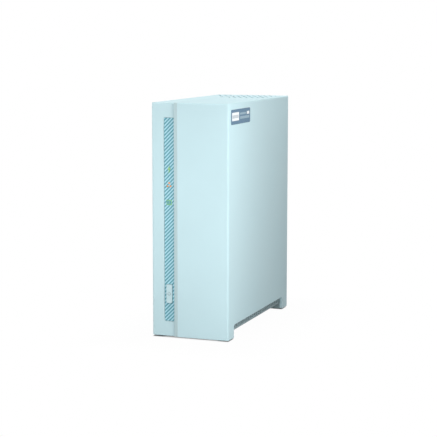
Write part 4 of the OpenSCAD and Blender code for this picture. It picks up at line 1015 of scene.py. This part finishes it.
def strapCell(strap):
    low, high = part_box("cell_holder")
    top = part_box("coin_cell")[1].x
    wide, thick, ease = strap["width"] / 2, strap["thick"], strap["ease"]
    z0, z1 = (low.z + high.z) / 2 - wide, (low.z + high.z) / 2 + wide
    bm = bmesh.new()
    addBlock(bm, (top, low.y - 2 * thick, z0), (top + thick, high.y + 2 * thick, z1), ease)
    for start in (low.y - 2 * thick, high.y + thick):
        addBlock(bm, (low.x, start, z0), (top + thick, start + thick, z1), ease)
    finishPiece("cellStrap", bm, "chassis", "cell_steel", finishes["cell_steel"])


dressCans(canDress)
strapCell(cellStrap)
print("board parts dressed")

# screws with a six-point recess, in the wells round the drive's lid
lidScrews = {
    "radius": 2.5 * mm,
    "sides": 36,
    "height": 0.55 * mm,
    "recess": 1.25 * mm,
    "points": 6,
    "pointShare": 0.18,                        # how far the points reach past the recess
    "depth": 0.45 * mm,
    "inset": 8.4 * mm,                         # from the sides of the drive
    "rows": (8.4 * mm, 62 * mm, 138.6 * mm),   # above the drive's lower end
    "seat": 1.1 * mm,                          # below the lid's raised face
}
nearGap = 0.1 * mm


def addLidScrew(bm, screws, foot):
    middle = foot + Vector((screws["height"], 0, 0))
    addRod(bm, foot, middle, screws["radius"], screws["sides"])
    near = [face for face in bm.faces if (face.calc_center_median() - middle).length < nearGap]
    top = max(near, key=lambda face: face.calc_area())
    bmesh.ops.inset_region(bm, faces=[top], thickness=screws["radius"] - screws["recess"],
                           use_even_offset=True)
    for vert in top.verts:
        arm = vert.co - middle
        wave = math.cos(screws["points"] * math.atan2(arm.z, arm.y))
        vert.co = middle + arm * (1 + screws["pointShare"] * wave)
    sunk = bmesh.ops.extrude_face_region(bm, geom=[top])["geom"]
    bmesh.ops.translate(bm, vec=(-screws["depth"], 0, 0),
                        verts=[part for part in sunk if isinstance(part, bmesh.types.BMVert)])
    bmesh.ops.delete(bm, geom=[top], context="FACES")


def fitLidScrews(screws):
    low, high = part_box("drive_casting")
    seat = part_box("drive_lid")[1].x - screws["seat"]
    bm = bmesh.new()
    for y in (low.y + screws["inset"], high.y - screws["inset"]):
        for row in screws["rows"]:
            addLidScrew(bm, screws, Vector((seat, y, low.z + row)))
    finishPiece("lidScrews", bm, "chassis", "screw_steel", finishes["screw_steel"])


fitLidScrews(lidScrews)
print("lid screws fitted")

# studio: pale floor, white background, soft lamps
studio = {
    "fill": 0.25,                              # light of the world on the tower
    "floor": {
        "side": 12.0,                          # metres
        "colour": tint(160, 161, 162),
        "glow": (0.975, 1.0),                  # share of plain white, under the tower and away from it
        "reach": (-0.02, 0.06),                # metres from the tower's outline between those two
        "shadowBand": (-14 * mm, -1 * mm),     # contact shadow inside the front and rear outline
        "shadowDepth": (0.68, 0.97),           # of that shadow, between the feet and at them
        "footReach": (-11 * mm, -9 * mm),      # where the feet begin, from the left and right outline
        "blur": 1 * mm,
    },
    "lamps": {                                 # in metres; only a glossy one shows in reflections
        "frontLamp": {"place": (-0.15, -0.6, 0.04), "aim": (0, -0.08, 0.06),
                      "size": (0.4, 0.08), "watts": 0.431},
        "leftLamp": {"place": (-0.06, -0.24, 0.13), "aim": (-0.025, -0.078, 0.12),
                     "size": (0.03, 0.14), "watts": 0.114},
        "sideLamp": {"place": (0.20, -0.155, 0.20), "aim": (0.03, -0.06, 0.13),
                     "size": (0.06, 0.25), "watts": 0.388},
        "cornerLamp": {"place": (0.16, -0.20, 0.04), "aim": (0.033, -0.07, 0.03),
                       "size": (0.05, 0.05), "watts": 0.0792, "glossy": True},
        "rearLamp": {"place": (0.16, 0.10, 0.30), "aim": (0.033, 0.05, 0.17),
                     "size": (0.05, 0.1), "watts": 0.082},
        "roofLamp": {"place": (-0.25, -0.1, 0.5), "aim": (-0.02, -0.02, 0.188),
                     "size": (0.2, 0.2), "watts": 1.08},
        "ventLamp": {"place": (0.03, 0.14, 0.34), "aim": (0.025, 0.06, 0.188),
                     "size": (0.06, 0.06), "watts": 0.084},
        "backLamp": {"place": (-0.45, 1.1, 0.095), "aim": (0, 0, 0.1),
                     "size": (0.7, 0.18), "watts": 8},
        "farLamp": {"place": (-0.85, 0.8, 0.095), "aim": (0, 0, 0.1),
                    "size": (0.7, 0.18), "watts": 5.5},
    },
}


# 1 for the rays that see plain white: from the camera, off gloss and through clear pieces
def rayMask(tree):
    rays = tree.nodes.new("ShaderNodeLightPath")
    mask = rays.outputs["Is Camera Ray"]
    for other in ("Is Glossy Ray", "Is Transmission Ray"):
        mask = addMath({"tree": tree}, "MAXIMUM", mask, rays.outputs[other])
    return mask


def mixShaders(tree, mask, under, over, output):
    mix = tree.nodes.new("ShaderNodeMixShader")
    tree.links.new(mask, mix.inputs["Fac"])
    tree.links.new(under, mix.inputs[1])
    tree.links.new(over, mix.inputs[2])
    tree.links.new(mix.outputs["Shader"], tree.nodes[output].inputs["Surface"])


def lightWorld(fill):
    world = bpy.data.worlds.new("studioWorld")
    world.use_nodes = True
    scene.world = world
    tree = world.node_tree
    soft = tree.nodes["Background"]
    white = tree.nodes.new("ShaderNodeBackground")
    for light, strength in ((soft, fill), (white, 1)):
        light.inputs["Color"].default_value = (1, 1, 1, 1)
        light.inputs["Strength"].default_value = strength
    mixShaders(tree, rayMask(tree), soft.outputs["Background"], white.outputs["Background"], "World Output")


def layFloor(floor):
    finish = startFinish("floorPaint", roughness=0.9, gloss=0)
    finish["shader"].inputs["Base Color"].default_value = floor["colour"]
    tree = finish["tree"]
    white = tree.nodes.new("ShaderNodeEmission")
    # how far a place lies outside the tower's outline, across and along
    across, along = (addMath(finish, "SUBTRACT", addMath(finish, "ABSOLUTE", addAxis(finish, axis)), half)
                     for axis, half in (("X", cadBox[1].x), ("Y", cadBox[1].y)))
    away = addMath(finish, "MAXIMUM", across, along)
    shadow = addBand(finish, along, *floor["shadowBand"], floor["blur"])
    for ends in ((-floor["blur"], 0, 1, 0), (*floor["footReach"], *floor["shadowDepth"])):
        shadow = addMath(finish, "MULTIPLY", shadow, addSlope(finish, across, *ends))
    glow = addSlope(finish, away, *floor["reach"], *floor["glow"])
    share = addMath(finish, "MULTIPLY", rayMask(tree), glow)
    share = addMath(finish, "MULTIPLY", share, addMath(finish, "SUBTRACT", 1, shadow))
    mixShaders(tree, share, finish["shader"].outputs["BSDF"], white.outputs["Emission"], "Material Output")
    bm = bmesh.new()
    bmesh.ops.create_grid(bm, x_segments=1, y_segments=1, size=floor["side"] / 2)
    mesh = bpy.data.meshes.new("floor")
    bm.to_mesh(mesh)
    bm.free()
    mesh.materials.append(finish["material"])
    sheet = bpy.data.objects.new("floor", mesh)
    scene.collection.objects.link(sheet)


def hangLamp(name, lamp):
    data = bpy.data.lights.new(name, "AREA")
    data.shape = "RECTANGLE"
    data.size, data.size_y = lamp["size"]
    data.energy = lamp["watts"]
    light = bpy.data.objects.new(name, data)
    scene.collection.objects.link(light)
    light.visible_camera = False
    light.visible_glossy = lamp.get("glossy", False)
    place = Vector(lamp["place"])
    aim = (Vector(lamp["aim"]) - place).to_track_quat("-Z", "Y").to_matrix().to_4x4()
    light.matrix_world = Matrix.Translation(place) @ aim


lightWorld(studio["fill"])
layFloor(studio["floor"])
for name, lamp in studio["lamps"].items():
    hangLamp(name, lamp)
print("studio lit,", len(studio["lamps"]), "lamps")
